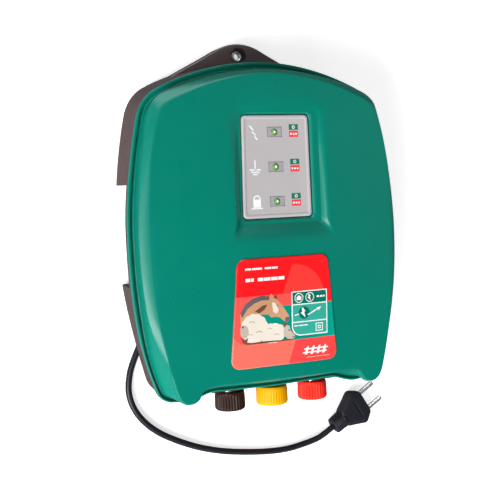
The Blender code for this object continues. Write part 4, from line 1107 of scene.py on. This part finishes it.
SLEEVE_LENGTH = 13.2
HEAD_LENGTH = 28.7
PLUG_GAP = 0.3
PIN_LENGTH = 19
PIN_OFFSET = 9.5
# Plug head: station along it, half width, half height
HEAD_STATIONS = [(0.0, 9.4, 7.4), (0.5, 9.9, 7.6), (3.0, 11.3, 7.7), (7.5, 13.6, 7.75), (12.0, 16.2, 7.75),
                 (15.5, 18.3, 7.7), (17.5, 19.3, 7.7), (19.3, 19.6, 7.65), (21.2, 19.0, 7.6),
                 (23.5, 17.4, 7.4),
                 (26.2, 15.2, 7.1), (28.0, 13.9, 6.8), (HEAD_LENGTH, 13.1, 6.2)]


def make_plug(finish, pin_finish):
    """Flat two-pin plug on the cord's end: ribbed sleeve, head with a dent, and two pins."""
    start = Vector(CORD_ROUTE[-1]) * MM + PLUG_WAY * PLUG_GAP * MM
    frame_to = along((start.x, start.y, PLUG_Z), PLUG_WAY)
    profile = [(0.01, SLEEVE_LENGTH), (9.3, SLEEVE_LENGTH), (9.3, SLEEVE_LENGTH - 1.0)]
    for index in range(5):
        height = SLEEVE_LENGTH - 1.5 - index * 2.2
        rib = 9.2 - 0.1 * index
        profile += [(8.1, height), (8.0, height - 0.8), (rib, height - 1.1), (rib, height - 1.7)]
    profile += [(8.3, 0.9), (7.3, 0.15), (5.4, 0.0), (3.3, 0.2), (0.01, 0.2)]
    rings = turned_rings(rounded(profile, 0.35), 64, frame_to)
    made = [finish_mesh(add_shell("plug_relief", rings, finish, "plug_black", "plug_sleeve"), 50)]
    begin = SLEEVE_LENGTH + PLUG_GAP
    sections = [[u + (v - u) * step / 3 for u, v in zip(a, b)]
                for a, b in zip(HEAD_STATIONS, HEAD_STATIONS[1:]) for step in range(3)]
    rings = [[frame_to @ point for point in plug_section(half * MM, thick * MM, (begin + station) * MM)]
             for station, half, thick in sections + [HEAD_STATIONS[-1]]]
    head = add_shell("plug_shell", rings, finish, "plug_black", "plug_body")
    boolean(head, box_cutter("plug_dent", (-9.5 * MM, 6.5 * MM, (begin + 16.0) * MM),
                             (9.5 * MM, 12.0 * MM, (begin + 18.6) * MM), frame_to, rounding=0.8 * MM))
    made.append(finish_cut(head, 34))
    base = begin + HEAD_LENGTH + PLUG_GAP
    tip = base + PIN_LENGTH
    profile = [(0.01, tip), (1.0, tip - 0.05), (1.7, tip - 0.4), (2.2, tip - 1.1), (2.4, tip - 2.0),
               (2.4, base),
               (0.01, base)]
    for number, side in enumerate((-1, 1), 1):
        rings = turned_rings(profile, 40, frame_to @ Matrix.Translation((side * PIN_OFFSET * MM, 0, 0)))
        pin = add_shell(f"plug_pin_round_{number}", rings, pin_finish, "zinc_steel", f"plug_pin_{number}")
        made.append(finish_mesh(pin, 50))
    return made


def make_eyelet(finish):
    """Rolled eyelet in the tab's bore."""
    top = TAB_FRONT / MM - 5.0
    profile = [(3.2, top - 4.5), (3.2, top + 0.7), (3.4, top + 1.0), (3.9, top + 1.15), (4.6, top + 1.05),
               (5.2, top + 0.7), (5.4, top + 0.3), (4.1, top + 0.3), (4.1, top - 4.5)]
    rings = turned_rings(profile, 64, upright(0, HOLE_Y))
    finish_mesh(add_shell("hanger_eyelet_ring", rings, finish, "zinc_steel", "hanger_eyelet", closed=True),
                50)


# ---------------------------------------------------------------- stage

# Soft boxes: place in metres, size, power, whether plain surfaces and gloss see them, and colour
LIGHTS = {"corner": ((-0.2, 1.35, 0.8), 1.2, 32.0, (False, True), (0.85, 0.98, 1.0)),
          "key": ((-2.3, -1.5, 1.9), 1.8, 185.0, (True, True), (1, 1, 1)),
          "low": ((0.4, -1.7, 0.9), 0.9, 6.0, (True, True), (1, 1, 1)),
          "side": ((-1.2, -0.1, 1.2), 0.7, 7.0, (False, True), (1, 1, 1)),
          "right": ((1.7, 0.4, 1.5), 1.2, 14.0, (True, False), (1, 1, 1))}
LIGHT_TARGET = Vector((0, 0, 0.05))


def make_floor():
    """White paper that glows a little, and that the glossy case doesn't mirror."""
    paper, _, shader = new_material("floor_paper", (0.8, 0.8, 0.8), 0.9)
    shader.inputs["Emission Color"].default_value = (1, 1, 1, 1)
    shader.inputs["Emission Strength"].default_value = 0.62
    bpy.ops.mesh.primitive_plane_add(size=24.0, location=(0, 0, -0.0005))
    floor = bpy.context.object
    floor.name = "floor"
    floor.data.materials.append(paper)
    floor.visible_glossy = False


def make_studio():
    """Dim surroundings, paler towards the horizon on the left, and the soft boxes."""
    world = bpy.data.worlds.new("studio")
    bpy.context.scene.world = world
    world.use_nodes = True
    tree = world.node_tree
    sky = node(tree, "ShaderNodeSeparateXYZ", {0: node(tree, "ShaderNodeTexCoord").outputs["Generated"]})
    rise = ramp(tree, sky.outputs["Z"], grey(1.0), grey(0.0), 0.15, 0.6)
    across = calc(tree, "MULTIPLY_ADD", sky.outputs["X"], 1.0, 0.5)
    flank = ramp(tree, across, grey(0.25), grey(0.10), 0.35, 0.6)
    tint = ramp(tree, calc(tree, "MULTIPLY", rise, flank), grey(0.08), grey(0.9), 0.0, 1.0)
    tree.links.new(tint, tree.nodes["Background"].inputs["Color"])
    bpy.context.scene.view_settings.view_transform = "Standard"
    for name, (spot, size, power, seen_by, colour) in LIGHTS.items():
        data = bpy.data.lights.new(name, "AREA")
        data.shape = "SQUARE"
        data.size = size
        data.energy = power
        data.color = colour
        lamp = link(name, data)
        lamp.matrix_world = along(spot, Vector(spot) - LIGHT_TARGET)
        lamp.visible_diffuse, lamp.visible_glossy = seen_by


# ---------------------------------------------------------------- pieces kept from the CAD

def board_material():
    """Green solder mask with paler tracks and small pads."""
    made, tree, shader = new_material("board_mask", (0.02, 0.15, 0.06), 0.4)
    spot = node(tree, "ShaderNodeTexCoord").outputs["Object"]
    bricks = node(tree, "ShaderNodeTexBrick", {"Vector": spot, "Scale": 130.0, "Mortar Size": 0.06,
                                               "Color1": (0.016, 0.13, 0.05, 1), "Color2": (0.024, 0.17, 0.07,
                                                                                            1),
                                               "Mortar": (0.05, 0.26, 0.12, 1)})
    dots = node(tree, "ShaderNodeTexVoronoi", {"Vector": spot, "Scale": 260.0}).outputs["Distance"]
    pads = ramp(tree, dots, grey(1.0), grey(0.0), 0.1, 0.16)
    tree.links.new(over(tree, bricks.outputs["Color"], pads, (0.62, 0.60, 0.52)), shader.inputs["Base Color"])
    tree.links.new(ramp(tree, noise(tree, 50.0), grey(0.3), grey(0.5)), shader.inputs["Roughness"])
    add_bump(tree, shader, bricks.outputs["Fac"], 0.3, 0.00008)
    return made


def dress_kept_nodes(steel):
    """Give every piece that is shown as the CAD made it a finish of its own."""
    rubber = moulded("rubber_black", (0.02, 0.02, 0.022), 0.72, grain=600.0, depth=0.0001, vary=0.18)
    resin = moulded("resin_black", (0.022, 0.022, 0.025), 0.48, grain=1400.0, depth=0.00005, vary=0.12)
    finishes = {
        "case_gasket": rubber, "terminal_bush": rubber, "cable_gland": rubber,
        "thyristor": resin, "fuse_holder": resin,
        "mains_terminal_block": moulded("nylon_white", (0.78, 0.78, 0.72), 0.45, grain=1200.0, vary=0.05),
        "storage_capacitor": moulded("capacitor_sleeve", (0.05, 0.07, 0.12), 0.22, grain=250.0, vary=0.2,
                                     Coat_Weight=0.4),
        "mains_fuse": moulded("fuse_glass", (0.88, 0.90, 0.88), 0.08, grain=300.0, vary=0.03,
                              Transmission_Weight=0.7),
        "led_board": board_material(), "main_board": board_material(),
        "transformer_core": metal("laminated_steel", (0.17, 0.17, 0.18), 0.5, (1, 1, 24)),
        "transformer_coil": metal("enamelled_copper", (0.62, 0.26, 0.11), 0.3, (1, 18, 18)),
        "heat_sink": metal("extruded_aluminium", (0.74, 0.74, 0.76), 0.38, (1, 14, 1)),
        "knob_insert": metal("turned_brass", (0.78, 0.57, 0.24), 0.28, (1, 10, 1)),
        "clamp_washer": steel, "terminal_stud": steel, "stud_nut": steel, "case_screw": steel,
                "board_screw": steel,
    }
    for name, piece in NODES.items():
        for prefix, finish in finishes.items():
            if name.startswith(prefix):
                if not piece.material_slots:
                    piece.data.materials.append(finish)
                for slot in piece.material_slots:
                    slot.material = finish


# ---------------------------------------------------------------- assembly

# Plastics and inks: colour, roughness, grain, bump depth and colour drift, then other sockets
FINISHES = {
    "plug_pvc": ((0.012, 0.013, 0.019), 0.42, 1400.0, 0.00004, 0.06, {"Specular_IOR_Level": 0.3}),
    "cord_pvc": ((0.009, 0.010, 0.016), 0.42, 1600.0, 0.00003, 0.06, {"Specular_IOR_Level": 0.3}),
    "cover_green": ((0.0, 0.185, 0.133), 0.30, 1100.0, 0.00005, 0.03, {"Specular_IOR_Level": 0.22}),
    "housing_brown": ((0.075, 0.044, 0.044), 0.42, 900.0, 0.00008, 0.1, {"wear": 0.3}),
    "panel_satin": ((0.46, 0.435, 0.44), 0.42, 1800.0, 0.00003, 0.02, {}),
    "window_smoke": ((0.36, 0.35, 0.37), 0.3, 1500.0, 0.00002, 0.06, {}),
    "print_white": ((0.85, 0.85, 0.85), 0.4, 2000.0, 0.00001, 0.02, {}),
    "print_green": ((0.0, 0.17, 0.10), 0.4, 900.0, 0.00001, 0.06, {}),
    "print_red": ((0.82, 0.05, 0.06), 0.4, 900.0, 0.00001, 0.06, {}),
}
INKS = {"white": ((0.84, 0.86, 0.84), 0.02), "deep": ((0.0, 0.155, 0.105), 0.03),
        "teal": ((0.035, 0.37, 0.29), 0.03),
        "tan": ((0.58, 0.30, 0.16), 0.22), "mane": ((0.13, 0.11, 0.13), 0.4),
        "cream": ((0.76, 0.69, 0.60), 0.10),
        "shade": ((0.50, 0.42, 0.34), 0.25), "brown": ((0.17, 0.07, 0.045), 0.3),
        "pink": ((0.9, 0.3, 0.27), 0.03)}
KNOB_COLOURS = ((0.030, 0.012, 0.008), (0.80, 0.37, 0.0), (0.88, 0.025, 0.011))


def main():
    make_camera()
    finish = {name: moulded(name, colour, roughness, grain, depth, vary, **others)
              for name, (colour, roughness, grain, depth, vary, others) in FINISHES.items()}
    steel = metal("zinc_plate", (0.62, 0.62, 0.63), 0.3)
    make_cord(finish["cord_pvc"], make_plug(finish["plug_pvc"], metal("pin_nickel", (0.97, 0.97, 0.98),
                                                                      0.45)))
    make_floor()
    make_studio()
    make_front_cover(finish["cover_green"])
    make_rear_housing(finish["housing_brown"])
    make_panel(finish["panel_satin"])
    make_windows(finish["window_smoke"], led_material())
    make_panel_print([finish["print_white"], finish["print_green"], finish["print_red"]])
    make_label(label_material())
    make_label_print([moulded(f"ink_{name}", colour, 0.15, grain=300.0, depth=0.00001, vary=vary)
                      for name, (colour, vary) in INKS.items()])
    for index, colour in enumerate(KNOB_COLOURS):
        make_knob(index, moulded(f"knob_{KNOB_NAMES[index]}_plastic", colour, 0.38, grain=1000.0,
                                 depth=0.00006,
                                 vary=0.05, Specular_IOR_Level=0.15))
    make_eyelet(steel)
    dress_kept_nodes(steel)


main()
